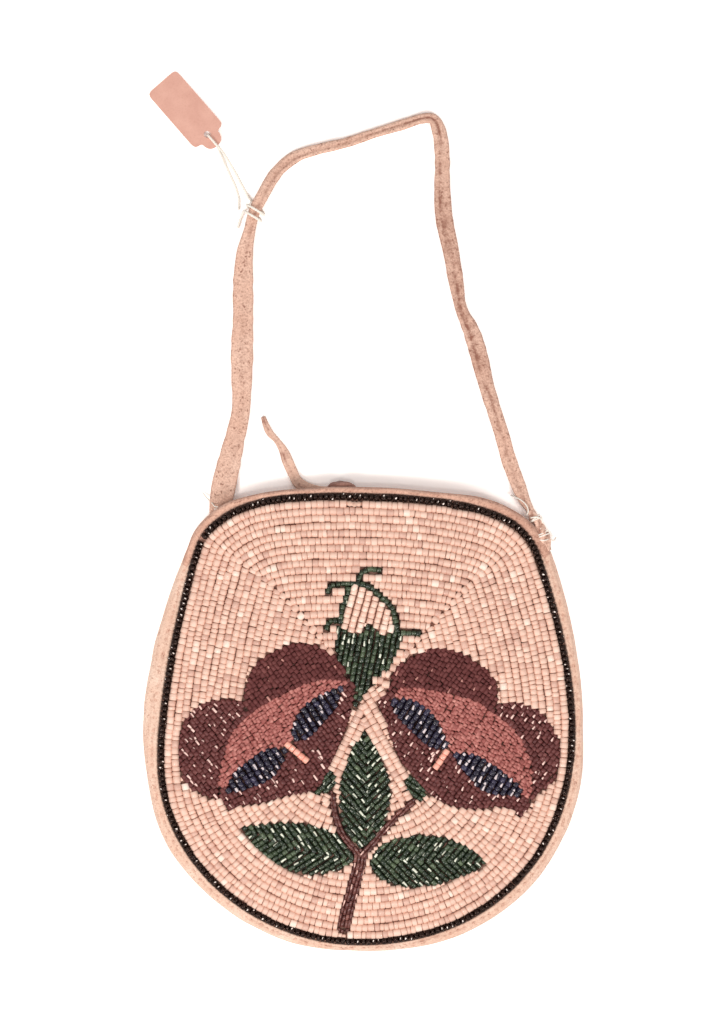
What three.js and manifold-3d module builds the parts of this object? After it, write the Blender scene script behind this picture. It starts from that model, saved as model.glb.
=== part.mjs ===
// A flat round pouch of tanned hide, its front covered with seed beads in a floral pattern, with a
// hide shoulder strap, a tie thong and a string tag. It lies on its back. Millimetres, +Z up, and
// the origin is the middle of the back panel's resting face. +Y points from the base to the mouth.
import * as THREE from 'three';
import { mergeVertices } from 'three/addons/utils/BufferGeometryUtils.js';
import Module from 'manifold-3d';

// Driving dimensions
const BORDER_WIDTH = 123; // across the pouch, between the middles of the black bead row
const BORDER_HEIGHT = 133.3; // from the row's lowest point to its highest
const HIDE = 1.1; // thickness of a panel
const GAP = 0.3; // clearance between pieces that touch
const CROWN = 5.2; // how far the middle of the front stands off its seam
const CROWN_RUN = 26; // distance over which it rises
const BORDER_BEAD = 2; // black bead, across its row
const BEAD_LAYER = 1.8; // height of the beadwork
const SEAM_MARGIN = 1.4; // how far the panels stop short of the outer edge
const BINDING_WALL = 0.85; // hide strip folded over the sewn edge
const BINDING_LEAF = 0.8; // its top leaf
const BINDING_ROUND = 0.25; // how far its edges are rounded off
const BINDING_REACH = { left: 0.9, right: 0.2 }; // its ends, as a share of a sector into the mouth
const ROLL_HEIGHT = 2.4; // rolled hem of the mouth, top to bottom
const ROW_WIDTH = 1.8; // a single row of green beads
const STEM_ROW = 2; // a row of stem beads
const CORAL_BAR = 1.8; // width of the coral bars
const LEAST_FIELD = 7; // volume under which an offcut of beadwork would hold no bead
const STRAP_HIDE = 1.3; // thickness of the strap where it lies flat
const STRAP_FOLDED = 2.2; // and where it is folded lengthwise
const THONG_HIDE = 1.2; // thickness of the tie thong
const KNOT_HEIGHT = 1.9; // the thong's knot, top to bottom
const TAG_CARD = 0.4;
const TAG_HOLE = 2.1;
const TAG_TILT = THREE.MathUtils.degToRad(3); // its nose rests on the string
const STRING = 0.7; // diameter

// The outlines below are drawn on a pouch of this size, and scale with it.
const DRAWN = { width: 123, height: 133.3 };
const wide = BORDER_WIDTH / DRAWN.width;
const high = BORDER_HEIGHT / DRAWN.height;
const at = (x, y) => new THREE.Vector2(x * wide, y * high);
const place = (x, y, z) => new THREE.Vector3(x, y, z);

// Directions from the middle, in degrees, where the mouth and its fittings end
const MOUTH_LEFT = 137;
const ROLL_RIGHT = 51;
const SEAM_RIGHT = 42;

// Distance from the middle of the black row to the pouch's outer edge, by direction in degrees
const MARGINS = [
  [0, 3.4], [15, 3.8], [28, 4.3], [40, 4.6], [50, 4.2], [60, 4.1], [72, 2.9], [90, 3.1], [113, 2.7],
  [127, 4], [135, 3.5], [148, 5], [160, 6.1], [178, 6.2], [196, 4.3], [208, 4.9], [226, 4.3],
  [247, 4], [267, 2.9], [292, 4.1], [318, 4.5], [342, 4.4],
];

const SECTORS = 64;
const IDLE = 0.05; // a point that strays less than this from its neighbours' line is left out
const CROWN_RINGS = [6, 12, 18, 24]; // distances inside the black row

// Heights of the layers at the seam
const frontUnder = HIDE + GAP;
const frontTop = frontUnder + HIDE;
const beadUnder = frontTop + GAP;
const beadTop = beadUnder + BEAD_LAYER;
const beadEdge = BORDER_BEAD / 2 + GAP; // from the black row's middle to the beadwork inside it
const aboveAll = beadTop + CROWN + 5;

// The black row's path: an arched mouth, rounded shoulders and a round base
function borderShape() {
  const shape = new THREE.Shape();
  const curve = (...numbers) => {
    const points = [at(numbers[0], numbers[1]), at(numbers[2], numbers[3]), at(numbers[4], numbers[5])];
    shape.bezierCurveTo(...points.flatMap((point) => [point.x, point.y]));
  };
  const start = at(-2, -66.3);
  shape.moveTo(start.x, start.y);
  curve(36.1, -66.3, 61.5, -41, 61.5, -3); // base, right
  curve(61.5, 14, 56.8, 32, 51.8, 47); // right side
  curve(50.5, 51.5, 47.5, 56.8, 42.5, 59.3); // right shoulder
  curve(35, 64.6, 14, 67, -6, 67); // mouth
  curve(-16, 67, -25, 66.8, -32.6, 64.9);
  curve(-39.5, 63.2, -47.3, 58.5, -50, 52.5); // left shoulder
  curve(-54.6, 38, -61.6, 8, -61.6, -12); // left side
  curve(-61.6, -41.9, -33, -66.3, -2, -66.3); // base, left
  return shape;
}

const border = borderShape().getSpacedPoints(SECTORS).slice(0, SECTORS);
// A border point's direction on the drawn pouch
function directionOf(point) {
  return (THREE.MathUtils.radToDeg(Math.atan2(point.y / high, point.x / wide)) + 360) % 360;
}
const directions = border.map(directionOf);

function marginAt(direction) {
  const last = MARGINS.length - 1;
  const index = MARGINS.findLastIndex(([angle]) => angle <= direction);
  const [from, width] = MARGINS[index];
  const [to, next] = index === last ? [360, MARGINS[0][1]] : MARGINS[index + 1];
  const share = THREE.MathUtils.smoothstep(direction, from, to);
  return THREE.MathUtils.lerp(width, next, share);
}

const outward = border.map((point, index) => {
  const before = border.at(index - 1);
  const after = border[(index + 1) % SECTORS];
  const along = after.clone().sub(before).normalize();
  return new THREE.Vector2(along.y, -along.x);
});
const margins = directions.map(marginAt);
const outset = (distances) => border.map((point, index) => (
  point.clone().addScaledVector(outward[index], distances[index])
));
const inMouth = directions.map((angle) => angle > SEAM_RIGHT && angle < MOUTH_LEFT);

function distanceToLine(point, from, to) {
  const line = to.clone().sub(from);
  const share = point.clone().sub(from).dot(line) / line.lengthSq();
  return point.distanceTo(from.clone().addScaledVector(line, THREE.MathUtils.clamp(share, 0, 1)));
}

const edges = border.map((point, index) => ({
  from: point,
  to: border[(index + 1) % SECTORS],
  sewn: !inMouth[index] && !inMouth[(index + 1) % SECTORS],
}));
const sewnEdges = edges.filter((edge) => edge.sewn);
const nearest = (point, list) => Math.min(...list.map((edge) => distanceToLine(point, edge.from, edge.to)));

function insideBorder(point) {
  const crossings = edges.filter(({ from, to }) => (
    (from.y > point.y) !== (to.y > point.y)
    && point.x < from.x + (to.x - from.x) * (point.y - from.y) / (to.y - from.y)
  ));
  return crossings.length % 2 === 1;
}

// How far the front panel stands above its seam level. It lies flat along the sewn edge and its
// margin, and stays up at the mouth.
function lift(point) {
  const distance = nearest(point, sewnEdges);
  const atMouth = inMouth[nearestSector(point)];
  if (!atMouth && !insideBorder(point)) return 0;
  return CROWN * THREE.MathUtils.smoothstep(distance, 0, CROWN_RUN);
}

function nearestSector(point) {
  const distances = border.map((other) => other.distanceTo(point));
  return distances.indexOf(Math.min(...distances));
}

// A point on the way from a border point to the middle, at the given distance inside the row
function insetPoint(start, distance) {
  let near = 0;
  let far = 1;
  for (let step = 0; step < 22; step += 1) {
    const middle = (near + far) / 2;
    const point = start.clone().multiplyScalar(1 - middle);
    if (nearest(point, edges) < distance) near = middle;
    else far = middle;
  }
  return start.clone().multiplyScalar(1 - near);
}
const inset = (distance) => border.map((point) => insetPoint(point, distance));

const beadRing = inset(beadEdge);
const crownRings = [beadRing, ...CROWN_RINGS.map(inset)];

// Geometry from the vertices and faces of a closed body, with its faces turned outwards
function meshOf(vertices, faces) {
  const corners = vertices.map((vertex) => new THREE.Vector3(...vertex));
  const volume = faces.reduce((sum, [a, b, c]) => (
    sum + corners[a].dot(new THREE.Vector3().crossVectors(corners[b], corners[c]))
  ), 0);
  const outwards = volume > 0 ? faces : faces.map(([a, b, c]) => [a, c, b]);
  const geometry = new THREE.BufferGeometry();
  geometry.setAttribute('position', new THREE.Float32BufferAttribute(vertices.flat(), 3));
  geometry.setIndex(outwards.flat());
  geometry.computeVertexNormals();
  return geometry;
}

// The faces that close a ring of points, turned the way the ring goes round
function capOf(ring) {
  const normal = ring.reduce((sum, point, index) => (
    sum.add(new THREE.Vector3().crossVectors(point, ring[(index + 1) % ring.length]))
  ), new THREE.Vector3()).normalize();
  const turn = new THREE.Quaternion().setFromUnitVectors(normal, new THREE.Vector3(0, 0, 1));
  const outline = ring.map((point) => point.clone().applyQuaternion(turn));
  return THREE.ShapeUtils.triangulateShape(outline.map(({ x, y }) => new THREE.Vector2(x, y)), []);
}

// The faces between two rings of points, from the indices at which the rings start
function facesBetween(first, second, count) {
  return [...Array(count).keys()].flatMap((side) => {
    const next = (side + 1) % count;
    return [
      [first + side, first + next, second + next],
      [first + side, second + next, second + side],
    ];
  });
}

const shifted = (faces, start) => faces.map((face) => face.map((index) => index + start));
const flipped = (faces) => faces.map(([a, b, c]) => [a, c, b]);

// A closed body through a list of rings with equally many points, each a list of Vector3. It is
// capped at both ends, or joined end to end.
function loft(rings, joined = false) {
  const count = rings[0].length;
  const vertices = rings.flat().map((point) => point.toArray());
  const last = (rings.length - 1) * count;
  const faces = [];
  for (let start = 0; start < last; start += count) {
    faces.push(...facesBetween(start, start + count, count));
  }
  if (joined) faces.push(...facesBetween(last, 0, count));
  else faces.push(...flipped(capOf(rings[0])), ...shifted(capOf(rings.at(-1)), last));
  return meshOf(vertices, faces);
}

// A crowned sheet between two heights, whose rim is any ring outside the beadwork's rings
function crownedSheet(rim, bottom, top) {
  const rings = rim ? [rim, ...crownRings] : crownRings;
  const points = rings.flat();
  const vertices = [bottom, top].flatMap((height) => (
    points.map((point) => [point.x, point.y, height + lift(point)])
  ));
  const innermost = points.length - SECTORS;
  const cap = capOf(rings.at(-1).map((point) => place(point.x, point.y, 0)));
  const surface = shifted(cap, innermost);
  for (let start = 0; start < innermost; start += SECTORS) {
    surface.push(...facesBetween(start, start + SECTORS, SECTORS));
  }
  const wall = facesBetween(points.length, 0, SECTORS);
  return meshOf(vertices, [...flipped(surface), ...shifted(surface, points.length), ...flipped(wall)]);
}

// Booleans
const wasm = await Module();
wasm.setup();

function solidOf(geometry) {
  const plain = geometry.clone();
  plain.deleteAttribute('normal');
  plain.deleteAttribute('uv');
  const merged = mergeVertices(plain);
  return new wasm.Manifold(new wasm.Mesh({
    numProp: 3,
    vertProperties: new Float32Array(merged.attributes.position.array),
    triVerts: new Uint32Array(merged.index.array),
  }));
}

function geometryOf(solid) {
  const mesh = solid.getMesh();
  const geometry = new THREE.BufferGeometry();
  geometry.setAttribute('position', new THREE.BufferAttribute(mesh.vertProperties, 3));
  geometry.setIndex(new THREE.BufferAttribute(mesh.triVerts, 1));
  geometry.computeVertexNormals();
  return geometry;
}

// A closed outline in the plane. Each run of points is a smooth curve, and runs meet in corners.
function drawn(...runs) {
  const shape = new THREE.Shape();
  const start = at(...runs[0][0]);
  shape.moveTo(start.x, start.y);
  runs.forEach((run, index) => {
    const points = (index === 0 ? run.slice(1) : run).map((pair) => at(...pair));
    if (points.length === 1) shape.lineTo(points[0].x, points[0].y);
    if (points.length > 1) shape.splineThru(points);
  });
  return withoutIdle(shape.getPoints(2));
}

// The points of an outline that its shape needs
function withoutIdle(points) {
  const kept = [points[0]];
  points.slice(1, -1).forEach((point, index) => {
    if (distanceToLine(point, kept.at(-1), points[index + 2]) > IDLE) kept.push(point);
  });
  return [...kept, points.at(-1)];
}

// A row of beads along a line of points, as wide as the row
function row(points, width) {
  const path = new THREE.SplineCurve(points.map((pair) => at(...pair)));
  const steps = (points.length - 1) * 2;
  const left = [];
  const right = [];
  for (let step = 0; step <= steps; step += 1) {
    const point = path.getPoint(step / steps);
    const along = path.getTangent(step / steps);
    const side = new THREE.Vector2(-along.y, along.x).multiplyScalar(width / 2);
    left.push(point.clone().add(side));
    right.unshift(point.clone().sub(side));
  }
  return [...right, ...left].reverse();
}

// The same outline, moved out by a distance
function grown(points, distance) {
  const loop = THREE.ShapeUtils.isClockWise(points) ? [...points].reverse() : points;
  return loop.map((point, index) => {
    const into = point.clone().sub(loop.at(index - 1)).normalize();
    const away = loop[(index + 1) % loop.length].clone().sub(point).normalize();
    const normal = new THREE.Vector2(into.y + away.y, -into.x - away.x).normalize();
    const reach = distance / Math.max(0.4, normal.dot(new THREE.Vector2(into.y, -into.x)));
    return point.clone().addScaledVector(normal, reach);
  });
}

function prism(points) {
  const shape = new THREE.Shape(points);
  return solidOf(new THREE.ExtrudeGeometry(shape, { depth: aboveAll, bevelEnabled: false }));
}

// The pattern, from the pieces that lie on top to those that lie under them
const LEFT_FLOWER = {
  coral_bar: row([[-24.1, -6.5], [-17.5, -12.1]], CORAL_BAR),
  blue_upper: drawn(
    [[-7.1, 10.6], [-14.2, 7.3], [-17.8, 5.3], [-20.7, 1.6], [-22.4, -2.9], [-21.6, -5.9]],
    [[-17.3, -4.8], [-12.7, 0.2], [-9.6, 3.7], [-8.1, 7.5], [-7.1, 10.6]],
  ),
  blue_lower: drawn(
    [[-23.9, -8.4], [-28.4, -8.1], [-32.6, -10.1], [-36, -12.8], [-39.8, -15.9], [-42, -21.5]],
    [[-37.5, -20.7], [-32.2, -18.7], [-28.2, -16.6], [-25.2, -12.4], [-23.9, -8.4]],
  ),
  rose_band: drawn(
    [[-5.8, 11.6], [-12, 12], [-19.9, 10.2], [-30.4, 4.8], [-36.1, 0.6], [-40, -3.6], [-42, -9],
      [-43.9, -16.2], [-43.6, -20.2]],
    [[-38, -16.6], [-31, -12], [-24.6, -8]],
    [[-18, -2], [-12, 5], [-5.8, 11.6]],
  ),
  lower_petal: drawn(
    [[-5.4, 12.6], [-3.5, 10.6]],
    [[-4.9, 2.5], [-6.6, -2.6], [-8.6, -7], [-9.8, -11.3], [-13.2, -17.4], [-16.5, -21.2], [-22.2, -21.9],
      [-32.2, -24.7], [-37.5, -25.2], [-40.6, -26.6]],
    [[-43.2, -23.4], [-44.2, -20.6]],
    [[-38, -17]],
    [[-24.6, -8.4]],
    [[-16, 0]],
    [[-5.4, 12.6]],
  ),
  upper_lobe: drawn(
    [[-5.6, 12.8], [-7.2, 16.2], [-12.3, 21.6], [-20.7, 23.3], [-27.2, 20.9], [-32.9, 17.4], [-35.3, 12.4],
      [-36.6, 6.2], [-35, 0]],
    [[-20, 6], [-5.6, 12.8]],
  ),
  side_lobe: drawn(
    [[-35.4, 5.2], [-40.5, 6.3], [-45.6, 6], [-50.2, 4.3], [-54.2, 0.2], [-56, -5.5], [-56.2, -11.3],
      [-55.3, -16.4], [-51.6, -20.9], [-46, -23.3], [-43.8, -23.2]],
    [[-41, -18]],
    [[-38, -8], [-32, 0]],
    [[-35.4, 5.2]],
  ),
};

const RIGHT_FLOWER = {
  coral_bar: row([[24.3, -8.5], [20.3, -14.3]], CORAL_BAR),
  blue_upper: drawn(
    [[7.4, 6.1], [10.6, 6.7], [14.4, 6], [19, 2.8], [22, -1.9], [24.5, -7.6]],
    [[22.5, -8.3], [18.3, -7.1], [14.4, -3.6], [10.2, 0.6], [8.2, 3.3], [7.4, 6.1]],
  ),
  blue_lower: drawn(
    [[25.8, -9.5], [30.1, -9.7], [34, -10.8], [37.8, -13.4], [42.4, -16.6], [46.5, -20.5]],
    [[45.6, -22.6]],
    [[43.1, -22], [38.6, -22], [33.6, -19.8], [30.1, -15.9], [27.3, -12.4], [25.8, -9.5]],
  ),
  rose_band: drawn(
    [[8.7, 7.9], [9.9, 9.6]],
    [[16.4, 9.5], [21.7, 8.6], [27.8, 7.1], [33.6, 5.4], [37.8, 2.1], [42.8, -1.6], [46.2, -6.3],
      [48.5, -11.6], [49.3, -18.9], [48.1, -23]],
    [[45, -20.4], [40, -16.6], [33, -12.2], [26.2, -9.8]],
    [[23.6, -7.2], [18, 0.6], [8.7, 7.9]],
  ),
  lower_petal: drawn(
    [[6, 8.6], [3.3, 5.8]],
    [[5.6, -0.6], [7.6, -5.9], [10.2, -11.3], [13.7, -15.9], [17.9, -20.6], [22.1, -23.9], [27.8, -25.8],
      [35.5, -26.1], [40, -25.6], [44.3, -26.9], [45.6, -28.9]],
    [[48.5, -25.8], [48.4, -22.4]],
    [[36, -14]],
    [[24, -4]],
    [[9.4, 8.6]],
    [[6, 8.6]],
  ),
  upper_lobe: drawn(
    [[6.2, 8.8], [8.2, 14.8], [12.5, 18.6], [17.5, 21.2], [22.5, 21.6], [27.8, 20.4], [31.7, 18.2],
      [36, 15], [38.6, 11], [38.7, 5.2], [37, 0]],
    [[20, 5], [6.2, 8.8]],
  ),
  side_lobe: drawn(
    [[37.8, 4.6], [43.1, 5.8], [48.1, 4.5], [52.3, 2.1], [55.2, -1.8], [57.3, -5.9], [57.9, -11.3],
      [56.9, -16], [54.4, -19.6], [50.2, -22.8], [48.8, -25.4]],
    [[46.6, -20]],
    [[44, -8], [36, 0]],
    [[37.8, 4.6]],
  ),
};

const BUD = {
  calyx: drawn(
    [[-8.6, 28.4], [-2.5, 25.6]],
    [[1, 29.2]],
    [[4.4, 25.4]],
    [[10, 27]],
    [[10, 22.2], [8.7, 18.2], [6.1, 15.2], [3.3, 11.8], [0.6, 9.7]],
    [[-1.9, 6.4], [-3, 3.6]],
    [[-4.6, 3.9]],
    [[-3.6, 7.4], [-3.2, 10.6]],
    [[-6.2, 13.6], [-8.5, 18.6], [-9.4, 22.4], [-8.6, 28.4]],
  ),
  outline_left: row([[-5.2, 40], [-6.4, 36], [-7.7, 32.2], [-7.8, 29]], ROW_WIDTH),
  outline_right: row(
    [[-2.3, 40.9], [1, 40], [3.4, 37.9], [5.9, 35.7], [7.8, 33.4], [8.6, 30.4], [9.3, 26.4]],
    ROW_WIDTH,
  ),
  tendril_top: row([[-2.6, 42], [-1.6, 44], [1, 45.3], [4.5, 45]], ROW_WIDTH),
  tendril_left: row([[-5, 41.1], [-8.2, 40.9], [-10.7, 40.3], [-11.8, 38]], ROW_WIDTH),
  tendril_low: row([[-8.8, 30.1], [-11, 29.5], [-12.2, 27.2]], ROW_WIDTH),
  tendril_right: row([[10.2, 26.1], [13, 26.3], [16.3, 26]], ROW_WIDTH),
  petals: drawn(
    [[-4.8, 40.2], [-1.5, 39.8], [2, 37.7], [6, 33.8], [8.4, 29.4], [8.6, 26.8], [4.4, 25.6], [1, 28.6],
      [-2.5, 26], [-6.8, 27.6], [-7.2, 32], [-4.8, 40.2]],
  ),
};

const LEAVES = {
  stem_main: drawn(
    [[-2.4, -40.2], [-4.6, -47], [-7.6, -56.4], [-8.7, -62.2]],
    [[-5, -62.4]],
    [[-3.8, -56.2], [-1.7, -48], [-0.2, -41.6], [-0.3, -39.6]],
    [[-2.4, -40.2]],
  ),
  stem_left: row([[-10.2, -21.6], [-9.6, -27], [-7.4, -33.4], [-3.4, -38.8]], STEM_ROW),
  stem_right: row([[14, -23.9], [8.6, -28.9], [3.6, -34.4], [0.5, -38.4]], STEM_ROW),
  sepal_left: drawn([[-16.2, -21.5]], [[-10.5, -15.6]], [[-9, -18.6]], [[-11.6, -21.2]], [[-16.2, -21.5]]),
  sepal_right: drawn([[12.8, -17.6]], [[18.2, -21.2]], [[16, -24]], [[11.7, -20.4]], [[12.8, -17.6]]),
  leaf_centre: drawn(
    [[-0.7, -3.1], [1.9, -6.2], [4.5, -11.9], [6.8, -18.1], [7.2, -23.2], [6.1, -28.4], [3, -33.6],
      [-1.2, -37.6]],
    [[-4.8, -34.1], [-7.4, -29.5], [-8.1, -22.2], [-7.4, -16.5], [-5.6, -10.8], [-3.1, -6.2], [-0.7, -3.1]],
  ),
  leaf_left: drawn(
    [[-37.2, -31.6], [-30.6, -30.8], [-22.9, -30.3], [-15.1, -31.3], [-8.9, -33.8], [-4.8, -38.2],
      [-4, -41.4]],
    [[-7.4, -44], [-15.1, -46], [-21.3, -45], [-27.5, -42.4], [-33.2, -37.2], [-37.2, -31.6]],
  ),
  leaf_right: drawn(
    [[1, -41.5], [4, -37.4], [8.6, -35.1], [15.9, -34], [22.6, -34.7], [28.8, -36.9], [33.4, -39.9],
      [35.6, -42.5]],
    [[31.4, -45.3], [26.2, -47.3], [16.9, -49.7], [9.7, -49.2], [4.5, -47.1], [1.7, -44.4], [1, -41.5]],
  ),
};

const group = new THREE.Group();

const COLOURS = {
  hide: '#d9b6a3', strap: '#d2ad9b', thong: '#cfab96', card: '#c98f7c', string: '#e9ddd0',
  ground: '#dcbcae', black: '#1c1211', maroon: '#5c2a2f', rose: '#a4524f', navy: '#1c2445',
  coral: '#f29a80', green: '#1e4a34', stem: '#6b2c33', pale: '#e6cabc',
};
const SHINE = { hide: 0.9, strap: 0.9, thong: 0.9, card: 0.85, string: 0.9 };

function add(name, geometry, colour) {
  const material = new THREE.MeshStandardMaterial({
    color: COLOURS[colour],
    roughness: SHINE[colour] ?? 0.3,
    metalness: 0,
  });
  const mesh = new THREE.Mesh(geometry, material);
  mesh.name = name;
  group.add(mesh);
  return mesh;
}

// Back panel: flat hide, a seam margin inside the outer edge
function backPanel() {
  const edge = outset(margins.map((margin) => margin - SEAM_MARGIN));
  return new THREE.ExtrudeGeometry(new THREE.Shape(edge), { depth: HIDE, bevelEnabled: false });
}

// Front panel: crowned hide, cut back along the mouth where its edge is rolled
function frontPanel() {
  const edge = outset(margins.map((margin, index) => (
    inMouth[index] ? BORDER_BEAD / 2 : margin - SEAM_MARGIN
  )));
  return crownedSheet(edge, frontUnder, frontTop);
}

// Binding: a strip of hide folded over the sewn edges, from one end of the mouth round to the other
function edgeBinding() {
  const sewn = [...border.keys()].filter((index) => (
    directions[index] < SEAM_RIGHT || directions[index] > MOUTH_LEFT
  ));
  const first = sewn.findIndex((index) => inMouth.at(index - 1));
  const ordered = [...sewn.slice(first), ...sewn.slice(0, first)];
  const stops = [
    [ordered[0], ordered[0] - 1, BINDING_REACH.left],
    ...ordered.map((index) => [index, index, 0]),
    [ordered.at(-1), ordered.at(-1) + 1, BINDING_REACH.right],
  ];
  return loft(stops.map(([index, next, share]) => bindingSection(index, next, share)));
}

// The binding's section at a share of the way from one border point to its neighbour
function bindingSection(index, next, share) {
  const outer = outset(margins);
  const neighbour = (next + SECTORS) % SECTORS;
  const edge = outer[index].clone().lerp(outer[neighbour], share);
  const away = outward[index].clone().lerp(outward[neighbour], share).normalize();
  const margin = THREE.MathUtils.lerp(margins[index], margins[neighbour], share);
  const leafUnder = frontTop + GAP + share * lift(border[neighbour]);
  const leafTop = leafUnder + BINDING_LEAF;
  const leaf = margin - BORDER_BEAD / 2 - GAP;
  const section = [
    [BINDING_WALL, 0], [BINDING_ROUND, 0], [0, BINDING_ROUND * 2], [0, leafUnder],
    [BINDING_ROUND * 2, leafTop], [leaf - BINDING_ROUND, leafTop], [leaf, leafUnder + BINDING_ROUND],
    [leaf, leafUnder], [BINDING_WALL, leafUnder],
  ];
  return section.map(([inward, height]) => {
    const point = edge.clone().addScaledVector(away, -inward);
    return place(point.x, point.y, height);
  });
}

// Mouth roll: the rolled hem of the front, as thick as the margin beside the black row
function mouthRoll() {
  const outer = outset(margins);
  const stretch = [...border.keys()].filter((index) => (
    directions[index] > ROLL_RIGHT && directions[index] < MOUTH_LEFT
  ));
  const SIDES = 10;
  const rings = stretch.map((index) => {
    const across = (margins[index] - BORDER_BEAD / 2 - GAP) / 2;
    const centre = outer[index].clone().addScaledVector(outward[index], -across);
    const height = frontUnder + lift(border[index]) + ROLL_HEIGHT / 2;
    return [...Array(SIDES).keys()].map((side) => {
      const angle = (side / SIDES) * 2 * Math.PI;
      const flat = centre.clone().addScaledVector(outward[index], Math.cos(angle) * across);
      return place(flat.x, flat.y, height + Math.sin(angle) * ROLL_HEIGHT / 2);
    });
  });
  return loft(rings);
}

// Black row: one string of beads all round the front, as a round cord of their width
function borderRow() {
  const SIDES = 8;
  const radius = BORDER_BEAD / 2;
  const rings = border.map((point, index) => (
    [...Array(SIDES).keys()].map((side) => {
      const angle = ((side + 0.5) / SIDES) * 2 * Math.PI;
      const flat = point.clone().addScaledVector(outward[index], Math.cos(angle) * radius);
      return place(flat.x, flat.y, beadUnder + lift(point) + radius * (1 + Math.sin(angle)));
    })
  ));
  return loft(rings, true);
}

// Beadwork: one crowned layer, cut into its fields of colour. A field is cut by what lies on it.
function beadwork() {
  const layer = solidOf(crownedSheet(null, beadUnder, beadTop));
  const fields = [
    ['tie_stitch', row([[-6.2, 65.1], [-1.4, 64.8]], 1.3), 'thong'],
    ...fieldsOf('left_flower', LEFT_FLOWER),
    ...fieldsOf('right_flower', RIGHT_FLOWER),
    ...fieldsOf('bud', BUD, { petals: 'pale' }, 'green'),
    ...fieldsOf('', LEAVES, { stem_main: 'stem', stem_left: 'stem', stem_right: 'stem' }, 'green'),
  ];
  let ground = layer;
  const above = [];
  fields.forEach(([name, outline, colour]) => {
    let field = layer.intersect(prism(outline));
    above.forEach((other) => {
      field = field.subtract(other);
    });
    const cut = prism(grown(outline, GAP));
    above.push(cut);
    ground = ground.subtract(cut);
    addField(name, field, colour);
  });
  addField('ground_beads', ground, 'ground');
}

// A field as its separate bodies, of which the offcuts too small for a bead are left out
function addField(name, field, colour) {
  const bodies = field.decompose().filter((body) => body.volume() > LEAST_FIELD);
  bodies.sort((one, other) => other.volume() - one.volume());
  bodies.forEach((body, index) => add(index ? `${name}_${index + 1}` : name, geometryOf(body), colour));
}

function fieldsOf(prefix, outlines, colours = {}, usual = null) {
  const flower = {
    coral_bar: 'coral', blue_upper: 'navy', blue_lower: 'navy', rose_band: 'rose',
    lower_petal: 'maroon', upper_lobe: 'maroon', side_lobe: 'maroon',
  };
  return Object.entries(outlines).map(([name, outline]) => [
    prefix ? `${prefix}_${name}` : name,
    outline,
    colours[name] ?? usual ?? flower[name],
  ]);
}

const pathThrough = (route) => (
  new THREE.CatmullRomCurve3(route.map(([x, y, z]) => place(x * wide, y * high, z)), false, 'centripetal')
);

// A strip of hide with rounded edges, along a route of stops [x, y, height of its underside, width,
// thickness]
function strip(route, steps) {
  const path = pathThrough(route.map(([x, y, under, , thick]) => [x, y, under + thick / 2]));
  const last = route.length - 1;
  const rings = [...Array(steps + 1).keys()].map((step) => {
    const centre = path.getPoint(step / steps);
    const along = path.getTangent(step / steps);
    const side = place(-along.y, along.x, 0).normalize();
    const up = new THREE.Vector3().crossVectors(along, side).normalize();
    const from = Math.min(Math.floor((step / steps) * last), last - 1);
    const share = (step / steps) * last - from;
    const width = THREE.MathUtils.lerp(route[from][3], route[from + 1][3], share);
    const thick = THREE.MathUtils.lerp(route[from][4], route[from + 1][4], share);
    const face = 0.5 - (0.3 * thick) / width;
    const section = [
      [-0.5, -0.25], [-face, -0.5], [face, -0.5], [0.5, -0.25],
      [0.5, 0.25], [face, 0.5], [-face, 0.5], [-0.5, 0.25],
    ];
    return section.map(([across, over]) => (
      centre.clone().addScaledVector(side, across * width).addScaledVector(up, over * thick)
    ));
  });
  return loft(rings);
}

const STRAP_STEPS = 56;
const STRAP_OVER_STRING = STRING * 2; // its underside where the tag's string turns round it

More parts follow.
